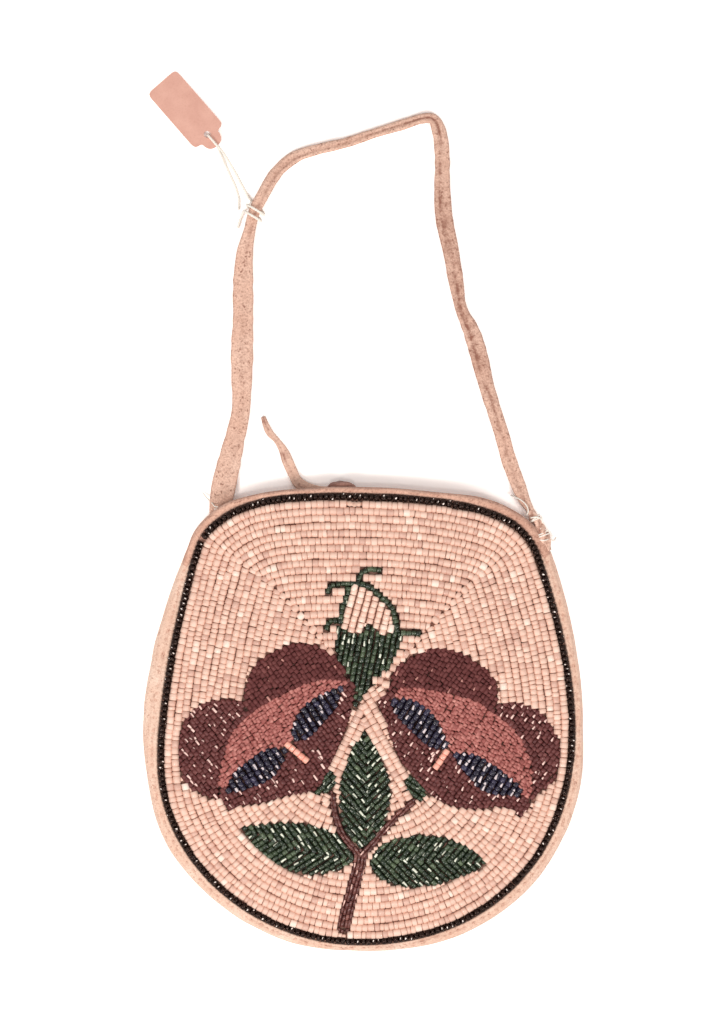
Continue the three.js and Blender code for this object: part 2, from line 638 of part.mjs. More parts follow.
// Strap: from between the panels at the left shoulder, round its loop, to the right shoulder
const STRAP_ROUTE = [
  [-43.2, 57.5, 1.65, 5.2, 1], [-44, 62, 1.7, 6, 1], [-43.5, 66, 1.65, 6.8, 1.1],
  [-42.6, 71, 0.95, 7.2, STRAP_HIDE], [-39.8, 83.1, 0.1, 6.2, STRAP_HIDE],
  [-37.7, 92.7, 0.05, 5.6, STRAP_HIDE], [-37.4, 102.3, 0.05, 6, STRAP_HIDE],
  [-37.3, 111.9, 0.05, 6.3, STRAP_HIDE], [-37, 121.5, 0.05, 6.1, STRAP_HIDE],
  [-37, 131.1, 0.15, 5.9, STRAP_HIDE], [-36.4, 140.7, 0.35, 4.9, 1.7],
  [-35.1, 146.4, 0.9, 3.5, STRAP_FOLDED], [-33.7, 152.1, STRAP_OVER_STRING, 3.3, STRAP_FOLDED],
  [-31.3, 156.9, 1.2, 3.6, STRAP_FOLDED], [-26.9, 164.2, 0.5, 3.8, STRAP_FOLDED],
  [-21.2, 168.9, 0.1, 3.6, STRAP_FOLDED], [-14.2, 171.2, 0.05, 3.3, STRAP_FOLDED],
  [-5.8, 173.2, 0.05, 3.1, STRAP_FOLDED], [2.9, 176.1, 0.05, 2.9, STRAP_FOLDED],
  [11.5, 178.7, 0.05, 3, STRAP_FOLDED], [16.6, 180.3, 0.1, 3.2, STRAP_FOLDED],
  [19.9, 180.2, 0.2, 3.3, STRAP_FOLDED], [21.8, 176.4, 0.3, 4.5, 1.8],
  [22.7, 169.2, 0.25, 4.6, STRAP_HIDE], [22.7, 159.6, 0.05, 4.8, STRAP_HIDE],
  [23.3, 150.3, 0.05, 5.1, STRAP_HIDE], [25.3, 140.7, 0.05, 5, STRAP_HIDE],
  [26.9, 131.1, 0.05, 4.2, 1.5], [28.4, 123.3, 0.1, 3.6, 2], [31.4, 116.7, 0.1, 5, 1.6],
  [33.5, 110.1, 0.1, 5.3, STRAP_HIDE], [35.9, 100.5, 0.05, 4.6, STRAP_HIDE],
  [38.3, 92.7, 0.05, 4.3, STRAP_HIDE], [40.7, 85.2, 0.05, 4.3, STRAP_HIDE],
  [42.6, 78.3, 0.1, 4.5, STRAP_HIDE], [45.2, 71.2, 0.55, 4.4, STRAP_HIDE],
  [47.2, 66.2, 1.25, 3.4, 1.5], [49.2, 62.6, 2, 2.3, 1.8],
];

const LUMP_SIDES = 8;

// Its right end: a twisted lump of hide, bound to the shoulder beside the mouth
const LUMP = [
  [49.5, 62.1, 3, 1.1], [50.7, 60.2, 3, 1.5], [51.5, 58.4, 3.1, 1.3], [52.2, 56.8, 3.1, 1.55],
  [53.1, 54.6, 3.1, 1.6], [53.9, 52.6, 3, 1.3], [54.4, 51, 3, 0.8],
];
function strapEnd() {
  const path = pathThrough(LUMP);
  const rings = LUMP.map(([, , , radius], index) => {
    const centre = path.getPoint(index / (LUMP.length - 1));
    const along = path.getTangent(index / (LUMP.length - 1));
    const side = place(-along.y, along.x, 0).normalize();
    const up = new THREE.Vector3().crossVectors(along, side).normalize();
    return [...Array(LUMP_SIDES).keys()].map((turn) => {
      const angle = (turn / LUMP_SIDES) * 2 * Math.PI;
      const across = Math.cos(angle) * radius;
      return centre.clone().addScaledVector(side, across).addScaledVector(up, Math.sin(angle) * radius);
    });
  });
  return loft(rings);
}

const THONG_STEPS = 18;

// Tie thong: from its knot behind the mouth's middle, under the hem and out to its free tip
const THONG_ROUTE = [
  [-11.3, 69, CROWN * 0.85, 2.2], [-13.4, 68.8, CROWN * 0.69, 2.7], [-16.6, 69.2, CROWN * 0.42, 3.2],
  [-20.4, 71.2, 0.6, 3.3], [-22.3, 74.6, 0.05, 3.3], [-23.7, 77.8, 0.05, 3.3], [-25, 81, 0.05, 2.6],
  [-27, 84, 0.1, 1.8], [-28.9, 86, 0.05, 2.2], [-30.2, 88.6, 0.05, 1.9], [-31, 91, 0.05, 1.4],
].map((stop) => [...stop, THONG_HIDE]);
const KNOT = { x: -7.2, y: 69.3, length: 7.4, width: 3.2 };
function tieKnot() {
  const geometry = new THREE.SphereGeometry(0.5, 12, 8);
  geometry.scale(KNOT.length, KNOT.width, KNOT_HEIGHT);
  return geometry;
}

// Tag: a card with clipped shoulders and a rounded nose, holed for its string
const TAG = { length: 25.6, width: 11.2, corner: 1.8, noseLength: 3.6, noseWidth: 6.2, holeAt: 4.6 };
const TAG_PLACE = { x: -61.5, y: 191.4, turn: THREE.MathUtils.degToRad(-49) };
function tag() {
  const half = TAG.width / 2;
  const nose = TAG.noseWidth / 2;
  const shoulder = TAG.length - TAG.noseLength;
  const shape = new THREE.Shape();
  shape.moveTo(TAG.corner, -half);
  shape.lineTo(shoulder - TAG.corner, -half);
  shape.quadraticCurveTo(shoulder, -half, shoulder, -half + TAG.corner);
  shape.lineTo(shoulder + 0.4, -nose);
  shape.quadraticCurveTo(TAG.length, -nose, TAG.length, 0);
  shape.quadraticCurveTo(TAG.length, nose, shoulder + 0.4, nose);
  shape.lineTo(shoulder, half - TAG.corner);
  shape.quadraticCurveTo(shoulder, half, shoulder - TAG.corner, half);
  shape.lineTo(TAG.corner, half);
  shape.quadraticCurveTo(0, half, 0, half - TAG.corner);
  shape.lineTo(0, TAG.corner - half);
  shape.quadraticCurveTo(0, -half, TAG.corner, -half);
  const hole = new THREE.Path();
  hole.absarc(TAG.length - TAG.holeAt, 0, TAG_HOLE / 2, 0, 2 * Math.PI, true);
  shape.holes.push(hole);
  return new THREE.ExtrudeGeometry(shape, { depth: TAG_CARD, bevelEnabled: false, curveSegments: 5 });
}

// A point over the tag's middle line, by its distance from the far edge and its height over the
// underside, on the drawn pouch
function onTag(along, height) {
  const reach = along * Math.cos(TAG_TILT);
  const x = TAG_PLACE.x + (reach * Math.cos(TAG_PLACE.turn)) / wide;
  const y = TAG_PLACE.y + (reach * Math.sin(TAG_PLACE.turn)) / high;
  return [x, y, along * Math.sin(TAG_TILT) + height];
}

// String: two turns round the strap, over the tag's nose, through its hole and back under the nose
const HOLE_RIM = TAG.length - TAG.holeAt + TAG_HOLE / 2;
const STRING_TURN = TAG_CARD / 2 + STRING / 2 + GAP; // radius at which it turns round the rim
const OVER_STRAP = STRAP_OVER_STRING + STRAP_FOLDED + STRING / 2 + GAP * 2;
const ROUNDING_STRAP = OVER_STRAP - STRING;
const BESIDE_STRAP = STRAP_OVER_STRING + STRAP_FOLDED / 2;
const STRING_ROUTE = [
  [-38.6, 147.6, 0.45], [-37.5, 149.3, 0.8], [-36.7, 151.1, BESIDE_STRAP], [-35.9, 151.1, ROUNDING_STRAP],
  [-34.1, 150.8, OVER_STRAP], [-32.3, 150.5, ROUNDING_STRAP], [-31.5, 150.5, BESIDE_STRAP],
  [-32.1, 151, 1.1], [-33.7, 151.9, 0.5], [-35.3, 152.9, 1.1], [-35.9, 153.4, BESIDE_STRAP],
  [-35, 153.4, ROUNDING_STRAP], [-33.2, 153.1, OVER_STRAP], [-31.4, 152.8, ROUNDING_STRAP],
  [-30.6, 152.8, BESIDE_STRAP], [-31.2, 153.4, 1.1], [-32.8, 154.3, 0.5], [-34.9, 156.2, 0.4],
  [-37.4, 160.5, 0.4], [-39.8, 165, 1.1],
  onTag(28.4, 0.9),
  onTag(TAG.length, 0.95),
  onTag(HOLE_RIM, TAG_CARD / 2 + STRING_TURN),
  onTag(HOLE_RIM - STRING_TURN * 0.7, TAG_CARD / 2 + STRING_TURN * 0.7),
  onTag(HOLE_RIM - STRING_TURN, TAG_CARD / 2),
  onTag(HOLE_RIM - STRING_TURN * 0.7, TAG_CARD / 2 - STRING_TURN * 0.7),
  onTag(HOLE_RIM, TAG_CARD / 2 - STRING_TURN),
  onTag(TAG.length, -0.85),
  [-43.6, 169.6, 0.4], [-41.4, 164.6, 0.37], [-39.3, 160, 0.37], [-38.3, 156.5, 0.37], [-38.3, 153.2, 0.45],
];
const STRING_SIDES = 8;
const STRING_STEPS = 62;
function tagString() {
  const round = new THREE.Path().absarc(0, 0, STRING / 2, 0, 2 * Math.PI);
  const section = new THREE.Shape(round.getSpacedPoints(STRING_SIDES).slice(0, STRING_SIDES));
  return new THREE.ExtrudeGeometry(section, {
    steps: STRING_STEPS,
    bevelEnabled: false,
    extrudePath: pathThrough(STRING_ROUTE),
  });
}

add('back_panel', backPanel(), 'hide');
add('front_panel', frontPanel(), 'hide');
add('edge_binding', edgeBinding(), 'hide');
add('mouth_roll', mouthRoll(), 'hide');
add('border_beads', borderRow(), 'black');
beadwork();
add('strap', strip(STRAP_ROUTE, STRAP_STEPS), 'strap');
add('strap_end', strapEnd(), 'strap');
add('tie_thong', strip(THONG_ROUTE, THONG_STEPS), 'thong');
const knot = add('tie_knot', tieKnot(), 'thong');
knot.position.set(KNOT.x * wide, KNOT.y * high, frontUnder + CROWN - GAP - KNOT_HEIGHT / 2);
const card = add('tag', tag(), 'card');
card.position.set(TAG_PLACE.x * wide, TAG_PLACE.y * high, 0);
card.rotation.set(0, -TAG_TILT, TAG_PLACE.turn, 'ZYX');
add('tag_string', tagString(), 'string');

export default group;
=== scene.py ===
import math

import bpy
import numpy as np
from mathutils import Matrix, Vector
from mathutils.bvhtree import BVHTree

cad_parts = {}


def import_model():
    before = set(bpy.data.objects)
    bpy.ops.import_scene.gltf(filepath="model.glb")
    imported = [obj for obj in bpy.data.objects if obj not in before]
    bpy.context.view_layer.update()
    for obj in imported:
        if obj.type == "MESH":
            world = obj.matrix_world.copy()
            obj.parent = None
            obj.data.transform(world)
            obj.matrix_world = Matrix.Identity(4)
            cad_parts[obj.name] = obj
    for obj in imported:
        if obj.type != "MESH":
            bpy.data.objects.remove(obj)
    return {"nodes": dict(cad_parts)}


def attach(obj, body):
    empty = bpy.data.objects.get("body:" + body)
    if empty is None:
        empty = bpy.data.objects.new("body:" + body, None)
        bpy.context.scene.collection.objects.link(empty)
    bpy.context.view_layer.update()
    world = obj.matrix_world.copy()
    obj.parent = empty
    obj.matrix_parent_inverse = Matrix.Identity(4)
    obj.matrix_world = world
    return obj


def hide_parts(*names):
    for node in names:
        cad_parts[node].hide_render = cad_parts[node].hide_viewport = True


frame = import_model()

# A beaded hide pouch lying on its back. Sizes are in millimetres, and MM turns them to metres.
MM = 0.001
UP = np.array([0.0, 0.0, 1.0])
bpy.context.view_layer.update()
random = np.random.default_rng(31)

# Photograph: its size in pixels, the pixel over the origin, and what a pixel covers
PHOTO = (726, 1024)
PHOTO_ORIGIN = (366.5, 720)
PIXEL = 0.30
CAMERA_HEIGHT = 1500
SENSOR = 36

# Beads: how far apart their rows lie, and how wide the beads are
GROUND_ROW = 2.19
GROUND_BEAD = 2.33
PETAL_BEAD = 1.971
SEED_ROW = 1.25
SEED_BEAD = 1.575
ROSE_ROW = 1.15
ROSE_BEAD = 1.65
NAVY_ROW = 2.05
NAVY_BARE = 1.64  # widest bead that fills a bare spot there
NAVY_BEAD = 1.886
CUT_ROW = 1.6
GREEN_BEAD = 1.552
OUTLINE_BEAD = 1.85
STEM_BEAD = 1.14
CORAL_BEAD = 2.0
BLACK_BEAD = 2.1
HIDE = 1.1  # thickness of a panel


def show(name, data):
    """An object of some data, linked to the scene."""
    made = bpy.data.objects.new(name, data)
    bpy.context.scene.collection.objects.link(made)
    return made


def camera():
    """Looks straight down on the middle of the photograph."""
    data = bpy.data.cameras.new("camera")
    data.sensor_width = SENSOR
    data.lens = SENSOR * CAMERA_HEIGHT / (PHOTO[1] * PIXEL)
    data.clip_start = 0.05
    data.clip_end = 20
    made = show("camera", data)
    x = (PHOTO[0] / 2 - PHOTO_ORIGIN[0]) * PIXEL
    y = (PHOTO_ORIGIN[1] - PHOTO[1] / 2) * PIXEL
    made.location = (x * MM, y * MM, CAMERA_HEIGHT * MM)
    bpy.context.scene.camera = made


camera()

# Curves and meshes

CURVE_STEPS = 24  # between two points of a curve, before they are evened out


def unit(vectors):
    return vectors / np.maximum(np.linalg.norm(vectors, axis=-1, keepdims=True), 1e-9)


def bell(apart, wide):
    """1 in the middle, falling to nothing over about twice that width."""
    return np.exp(-((apart / wide) ** 2))


def turns(sides):
    """Angles evenly spaced round a circle."""
    return np.arange(sides) / sides * 2 * math.pi


def passing(at, low, high, first, last):
    """From the first value to the last, as at goes from low to high."""
    return (high - at) / (high - low) * first + (at - low) / (high - low) * last


def smooth_curve(points, spacing, closed=False):
    """A centripetal curve through the points, at an even spacing, with as many columns."""
    points = np.asarray(points, float)
    before = points[-1:] if closed else [2 * points[0] - points[1]]
    after = points[:2] if closed else [2 * points[-1] - points[-2]]
    around = np.vstack([before, points, after])
    dense = []
    for a, b, c, d in zip(around, around[1:], around[2:], around[3:]):
        gaps = [max(np.linalg.norm(q[:3] - p[:3]), 1e-6) ** 0.5 for p, q in ((a, b), (b, c), (c, d))]
        t0, t1, t2, t3 = np.cumsum([0] + gaps)
        at = np.linspace(t1, t2, CURVE_STEPS, endpoint=False)[:, None]
        middle = passing(at, t1, t2, b, c)
        first = passing(at, t0, t2, passing(at, t0, t1, a, b), middle)
        last = passing(at, t1, t3, middle, passing(at, t2, t3, c, d))
        dense.append(passing(at, t1, t2, first, last))
    dense.append(points[:1] if closed else points[-1:])
    return evenly(np.vstack(dense), spacing, closed)


def distances(path):
    """How far along a path each of its points is."""
    return np.r_[0, np.cumsum(np.linalg.norm(np.diff(path[:, :3], axis=0), axis=1))]


def evenly(dense, spacing, closed=False):
    """The polyline's points at an even spacing along it, without the last one if it is closed."""
    along = distances(dense)
    count = max(2, round(along[-1] / spacing))
    at = np.linspace(0, along[-1], count + 1)
    if closed:
        at = at[:-1]
    return np.column_stack([np.interp(at, along, column) for column in dense.T])


def tangents(points, closed=False):
    if closed:
        return unit(np.roll(points, -1, 0) - np.roll(points, 1, 0))
    return unit(np.gradient(points, axis=0))


def leftwards(path):
    """Unit vectors to the left of a flat path."""
    along = tangents(path)
    return np.column_stack([-along[:, 1], along[:, 0]])


def axes(path):
    """Unit vectors along a path, to its side and over it."""
    along = tangents(path)
    side = unit(np.cross(np.broadcast_to(UP, along.shape), along) + 1e-6)
    return along, side, np.cross(along, side)


def wander(count, reach, wave):
    """Smooth random numbers of about that reach, that turn round every so many steps."""
    knots = random.normal(0, reach, max(4, int(count / wave) + 3))
    at = np.linspace(0, len(knots) - 1.001, count)
    low = at.astype(int)
    share = at - low
    share = share * share * (3 - 2 * share)
    return knots[low] * (1 - share) + knots[np.minimum(low + 1, len(knots) - 1)] * share


def piece(name, points, faces, material, slot, replaces=(), **attributes):
    """A mesh piece of points in millimetres and faces, each an array of equally long index lists.
    Its attributes have a value from 0 to 1 at each point."""
    mesh = bpy.data.meshes.new(name)
    loops = np.concatenate([f.ravel() for f in faces])
    sizes = np.concatenate([np.full(len(f), f.shape[1]) for f in faces])
    mesh.vertices.add(len(points))
    mesh.vertices.foreach_set("co", (points * MM).astype(np.float32).ravel())
    mesh.loops.add(len(loops))
    mesh.loops.foreach_set("vertex_index", loops.astype(np.int32))
    mesh.polygons.add(len(sizes))
    mesh.polygons.foreach_set("loop_start", np.r_[0, np.cumsum(sizes)[:-1]].astype(np.int32))
    mesh.polygons.foreach_set("use_smooth", np.full(len(sizes), True))
    for key, values in attributes.items():
        levels = np.clip(values, 0, 1).astype(np.float32).ravel()
        mesh.attributes.new(key, "FLOAT", "POINT").data.foreach_set("value", levels)
    mesh.update(calc_edges=True)
    mesh.validate()
    mesh.materials.append(material)
    made = show(name, mesh)
    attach(made, "root")
    if replaces:
        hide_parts(*replaces)
    return made


def tube_faces(rings, sides):
    """Quads round a tube of points, numbered ring by ring."""
    ring = np.arange(rings - 1)[:, None] * sides
    point = np.arange(sides)[None, :]
    beside = (point + 1) % sides
    quads = [ring + point, ring + sides + point, ring + sides + beside, ring + beside]
    return np.stack(quads, -1).reshape(-1, 4)


def loft(name, parts, material, **more):
    """A piece of closed skins, each over its own rings of points and capped at both ends."""
    quads, caps, start = [], [], 0
    for rings in parts:
        count, sides = rings.shape[:2]
        around = np.arange(sides)
        quads.append(tube_faces(count, sides) + start)
        caps.append(np.stack([around, (count - 1) * sides + around[::-1]]) + start)
        start += count * sides
    points = np.vstack([rings.reshape(-1, 3) for rings in parts])
    return piece(name, points, [np.vstack(quads), np.vstack(caps)], material, **more)


def rings_along(path, across, over):
    """Rings round a path: for each, its points' distances to the side of the path and over it."""
    _, side, up = axes(path)
    return path[:, None] + side[:, None] * across[..., None] + up[:, None] * over[..., None]


def tube_rings(path, radius, sides):
    """Rings along a path, with one radius, one for each ring or one for each of their points."""
    radius = radius if np.ndim(radius) == 2 else np.reshape(radius, (-1, 1))
    return rings_along(path, np.cos(turns(sides)) * radius, np.sin(turns(sides)) * radius)


def threads(name, routes, radius, sides, material, **more):
    """Several threads in one piece, each along its own points. They taper at the ends."""
    parts = []
    for route in routes:
        path = smooth_curve(route, max(radius, 0.2))
        size = np.full(len(path), radius)
        size[[0, -1]] *= 0.45
        parts.append(tube_rings(path, size, sides))
    loft(name, parts, material, **more)


# What is read from the frame: the border row's path, the pattern's fields and the front's height

BORDER_STEP = 0.2
BORDER_CORNERS = 8


def border_path():
    """The middle line of the black row, from the rings of corners that its solid has."""
    corners = np.array([v.co[:] for v in frame["nodes"]["border_beads"].data.vertices]) / MM
    found = np.unique(np.round(corners, 3), axis=0)
    order = np.argsort(np.arctan2(found[:, 1], found[:, 0]))
    return found[order].reshape(-1, BORDER_CORNERS, 3).mean(1)


border = smooth_curve(border_path(), BORDER_STEP, closed=True)[:, :2]
border_along = tangents(border, closed=True)
border_out = np.column_stack([border_along[:, 1], -border_along[:, 0]])

KINDS = ("ground", "tie_stitch", "bud", "stem", "sepal", "leaf", "left_flower", "right_flower")
FIELDS = [name for name in frame["nodes"] if name.startswith(KINDS)]
MAP_LOW = np.array([-64.0, -69.0])
MAP_STEP = 0.25
MAP_SIZE = (513, 553)
HEIGHT_STEP = 2.0
HEIGHT_SIZE = (65, 70)
SPREAD = 5

# The bud's sides, and the outlines of what the CAD's fields leave to the ground inside the bud and
# round the sepals and stems
BUD_LEFT = [(-5.2, 40), (-6.4, 36), (-7.7, 32.2)]
BUD_RIGHT = [(1, 40), (3.4, 37.9), (5.9, 35.7), (7.8, 33.4), (8.6, 30.4)]
CLAIMS = {
    "bud_petals": [(-3, 41), *BUD_RIGHT, (8.3, 27), (-7.4, 29), *BUD_LEFT[::-1]],
    "leaf_centre": [(-4.4, -34.6), (2.4, -34.6), (-0.9, -39.8)],
    "sepal_left": [(-16.8, -20.6), (-11.2, -14), (-8.9, -16.2), (-14.2, -22.4)],
    "sepal_right": [(12.4, -15.6), (18.6, -20.6), (16.6, -23.4), (11.4, -19)],
    "stem_main": [(-3.4, -39), (0.2, -39), (-0.8, -42.6), (-3.4, -42.6)],
}
# Each stem's middle, and how far its strings lie to the left of it
SIDE_STRINGS = (-0.47, 0.47)
STEMS = {
    "stem_main": (
        [(-1.6, -39.8), (-2, -42.4), (-3.7, -49.3), (-5.8, -56.8), (-6.9, -62)],
        (-1.55, -0.52, 0.52, 1.55),
    ),
    "stem_left": ([(-10.2, -21.6), (-9.6, -27), (-7.4, -33.4), (-3.4, -38.6), (-2.2, -40.6)], SIDE_STRINGS),
    "stem_right": ([(14, -23.9), (8.6, -28.9), (3.6, -34.4), (0.5, -38.2), (-1.4, -40.4)], SIDE_STRINGS),
}


def tree_of(nodes):
    """A tree of some CAD nodes to cast rays at, and which node each of its faces is from."""
    points, faces, owner = [], [], []
    for index, node in enumerate(nodes):
        data = frame["nodes"][node].data
        faces += [[len(points) + v for v in polygon.vertices] for polygon in data.polygons]
        owner += [index] * len(data.polygons)
        points += [v.co / MM for v in data.vertices]
    return BVHTree.FromPolygons(points, faces), owner


def map_of(nodes, step, size):
    """Which node is seen from above at each point of a grid, and how high it is there."""
    tree, owner = tree_of(nodes)
    seen = np.full(size, -1)
    height = np.full(size, np.nan)
    for i, j in np.ndindex(size):
        start = Vector((MAP_LOW[0] + i * step, MAP_LOW[1] + j * step, 30))
        spot, _, face, _ = tree.ray_cast(start, Vector((0, 0, -1)))
        if face is not None:
            seen[i, j] = owner[face]
            height[i, j] = spot.z
    return seen, height


def neighbours(grid, **edges):
    """A grid moved by one step each way."""
    padded = np.pad(grid, 1, **edges)
    return padded[:-2, 1:-1], padded[2:, 1:-1], padded[1:-1, :-2], padded[1:-1, 2:]


def inside(outline, points):
    """Which points lie inside an outline."""
    result = np.zeros(points.shape[:-1], bool)
    x, y = points[..., 0], points[..., 1]
    for (x0, y0), (x1, y1) in zip(outline, outline[1:] + outline[:1]):
        crosses = (y0 > y) != (y1 > y)
        result ^= crosses & (x < (x1 - x0) * (y - y0) / (y1 - y0 + 1e-9) + x0)
    return result


def fields_seen():
    """The field at each point of the map. They are spread into the clearances round them, and the
    bud, sepals and stems claim theirs from the ground, so that the beads of all fields meet."""
    seen, _ = map_of(FIELDS, MAP_STEP, MAP_SIZE)
    for _ in range(SPREAD):
        for near in neighbours(seen, constant_values=-1):
            seen = np.where(seen < 0, near, seen)
    cells = np.argwhere(seen == FIELDS.index("ground_beads"))
    spots = cells * MAP_STEP + MAP_LOW
    for field, outline in CLAIMS.items():
        seen[tuple(cells[inside(outline, spots)].T)] = FIELDS.index(field)
    for field, (route, apart) in STEMS.items():
        path = smooth_curve(route, 0.4)
        reach = apart[-1] + STEM_BEAD * 0.45
        near = np.array([((spot - path) ** 2).sum(1).min() for spot in spots]) < reach ** 2
        seen[tuple(cells[near].T)] = FIELDS.index(field)
    return seen


def height_map():
    """The front panel's upper side, smoothed over its facets and carried on past its edge."""
    _, height = map_of(["front_panel"], HEIGHT_STEP, HEIGHT_SIZE)
    known = ~np.isnan(height)
    spots = np.argwhere(known)
    for spot in np.argwhere(~known):
        height[tuple(spot)] = height[tuple(spots[np.argmin(((spots - spot) ** 2).sum(1))])]
    for _ in range(2):
        height = (2 * height + sum(neighbours(height, mode="edge"))) / 6
    return height


field_map = fields_seen()
heights = height_map()


def surface(x, y):
    """Height of the front panel's upper side."""
    u = np.clip((np.asarray(x) - MAP_LOW[0]) / HEIGHT_STEP, 0, HEIGHT_SIZE[0] - 1.001)
    v = np.clip((np.asarray(y) - MAP_LOW[1]) / HEIGHT_STEP, 0, HEIGHT_SIZE[1] - 1.001)
    i, j = u.astype(int), v.astype(int)
    u, v = u - i, v - j
    low = heights[i, j] * (1 - u) + heights[i + 1, j] * u
    high = heights[i, j + 1] * (1 - u) + heights[i + 1, j + 1] * u
    return low * (1 - v) + high * v


def spots_of(field):
    """The map's points that lie in a field of the pattern."""
    return np.argwhere(field_map == FIELDS.index(field)) * MAP_STEP + MAP_LOW


def within(field, points):
    """Which points lie in a field of the pattern."""
    cells = np.round((points - MAP_LOW) / MAP_STEP).astype(int)
    cells = np.clip(cells, 0, np.array(MAP_SIZE) - 1)
    return field_map[cells[:, 0], cells[:, 1]] == FIELDS.index(field)


# Materials. A colour is one of the photograph's, 0 to 255.

def linear(rgb):
    """A colour as linear light."""
    return tuple(c / 255 / 12.92 if c <= 10 else ((c / 255 + 0.055) / 1.055) ** 2.4 for c in rgb) + (1,)


class Nodes:
    """A node tree that is added to."""

    def __init__(self, owner):
        owner.use_nodes = True
        self.tree = owner.node_tree

    def node(self, kind, inputs=(), **settings):
        made = self.tree.nodes.new(kind)
        for key, value in settings.items():
            setattr(made, key, value)
        for key, value in dict(inputs).items():
            if isinstance(value, bpy.types.NodeSocket):
                self.tree.links.new(value, made.inputs[key])
            else:
                made.inputs[key].default_value = value
        return made

    def between(self, value, low, high, start=0.0, end=1.0):
        """The value's course from start to end, as one from low to high."""
        inputs = {"Value": value, "From Min": start, "From Max": end, "To Min": low, "To Max": high}
        return self.node("ShaderNodeMapRange", inputs).outputs["Result"]

    def work(self, operation, one, other):
        return self.node("ShaderNodeMath", {0: one, 1: other}, operation=operation).outputs[0]


class Paint(Nodes):
    """A Principled material and the nodes before it."""

    def __init__(self, name, **sockets):
        self.material = bpy.data.materials.new(name)
        super().__init__(self.material)
        self.shader = self.tree.nodes["Principled BSDF"]
        for socket, value in sockets.items():
            self.shader.inputs[socket.replace("_", " ")].default_value = value
        self.place = self.node("ShaderNodeTexCoord").outputs["Object"]

    def noise(self, size, detail=3.0, roughness=0.5, distortion=0.0):
        """Noise whose grain is about that many millimetres."""
        inputs = {"Vector": self.place, "Scale": 1 / (size * MM), "Detail": detail, "Roughness": roughness}
        return self.node("ShaderNodeTexNoise", {**inputs, "Distortion": distortion}).outputs["Fac"]

    def attribute(self, name):
        return self.node("ShaderNodeAttribute", attribute_name=name).outputs["Fac"]

    def ramp(self, value, *stops):
        """Colours along a value. A stop is a position and a linear colour."""
        made = self.node("ShaderNodeValToRGB", {"Fac": value})
        elements = made.color_ramp.elements
        while len(elements) < len(stops):
            elements.new(0.5)
        for element, (position, colour) in zip(elements, stops):
            element.position = position
            element.color = colour
        return made.outputs["Color"]

    def mix(self, share, one, other):
        return self.node("ShaderNodeMix", {0: share, 6: one, 7: other}, data_type="RGBA").outputs[2]

    def bump(self, height, depth, under=None):
        """A bump of a height and a depth in millimetres, over another bump."""
        inputs = {"Height": height, "Distance": depth * MM, "Strength": 1.0}
        if under:
            inputs["Normal"] = under
        return self.node("ShaderNodeBump", inputs).outputs["Normal"]

    def set(self, socket, value):
        self.tree.links.new(value, self.shader.inputs[socket])


def suede(name, pale, usual, dark, soil=0.35, nap=0.12, speck=0.6):
    """Brain-tanned hide: mottled, with a fine nap and pores, and darker in blotchy patches where a piece
    marks rubbed and soiled places and painted shade.
    """
    pale, usual, dark = linear(pale), linear(usual), linear(dark)
    paint = Paint(name, Specular_IOR_Level=0.25, Sheen_Weight=0.25, Sheen_Roughness=0.6)
    mottle = paint.noise(9, 4, 0.6, 0.4)
    grain = paint.noise(0.55, 3, 0.7)
    pores = paint.noise(1.1, 2, 0.6)
    colour = paint.ramp(mottle, (0.3, usual), (0.7, pale))
    colour = paint.mix(paint.between(grain, 0, soil, 0.42, 0.72), colour, dark)
    colour = paint.mix(paint.between(pores, 0, speck, 0.6, 0.72), colour, dark)
    # Blotches darken where the piece's attribute marks soil and painted shade.
    blotches = paint.between(paint.noise(2.2, 4, 0.65), 0.45, 1.5, 0.36, 0.64)
    colour = paint.mix(paint.work("MULTIPLY", paint.attribute("soil"), blotches), colour, dark)
    paint.set("Base Color", colour)
    paint.set("Roughness", paint.between(grain, 0.82, 0.98))
    paint.set("Normal", paint.bump(grain, nap, paint.bump(pores, nap * 0.9)))
    return paint.material


def glass_beads(
    name, stops, rim, roughness, coat=0.0, streak=0.25, gleam=0.0, glint=None, sparkle=0.5, specular=0.5,
    tint=(255, 255, 255),
):
    """Beads: each has a tone of its own, ends of another colour and faint streaks of drawn glass.
    One cut face, the one that looks up, is painted brighter by the gleam: a painted highlight. On beads of
    the highest tone it has the glint's colour, a painted glint, and fine noise adds painted sparkles of that
    colour."""
    paint = Paint(
        name, Coat_Weight=coat, Coat_Roughness=0.08, Specular_IOR_Level=specular, Specular_Tint=linear(tint)
    )
    stops = [(tone, linear(colour)) for tone, *colour in stops]
    rim, glint = linear(rim), glint and linear(glint)
    tone = paint.attribute("tone")
    shining = paint.between(tone, 0, 1, 0.94, 0.97)
    if glint:
        tone = paint.work("SUBTRACT", tone, paint.between(shining, 0, 0.5))
    colour = paint.ramp(tone, *stops)
    cloud = paint.noise(1.2, 2, 0.6)
    colour = paint.mix(paint.between(cloud, 0, streak, 0.35, 0.75), colour, rim)
    colour = paint.mix(paint.between(paint.attribute("rim"), 0, 0.8, 0.35, 1.0), colour, rim)
    face = paint.attribute("face")
    if gleam:
        colour = paint.mix(paint.between(face, 0, gleam, 0.1, 0.9), colour, stops[-1][1])
    if glint:
        colour = paint.mix(paint.between(paint.noise(0.4, 1.0), 0, sparkle, 0.68, 0.72), colour, glint)
        face = paint.between(face, 0, 1, 0.38, 0.52)
        colour = paint.mix(paint.work("MULTIPLY", face, shining), colour, glint)
    paint.set("Base Color", colour)
    paint.set("Roughness", paint.between(cloud, *roughness, 0.3, 0.7))
    paint.set("Normal", paint.bump(paint.noise(0.7, 1.0), 0.05))
    return paint.material


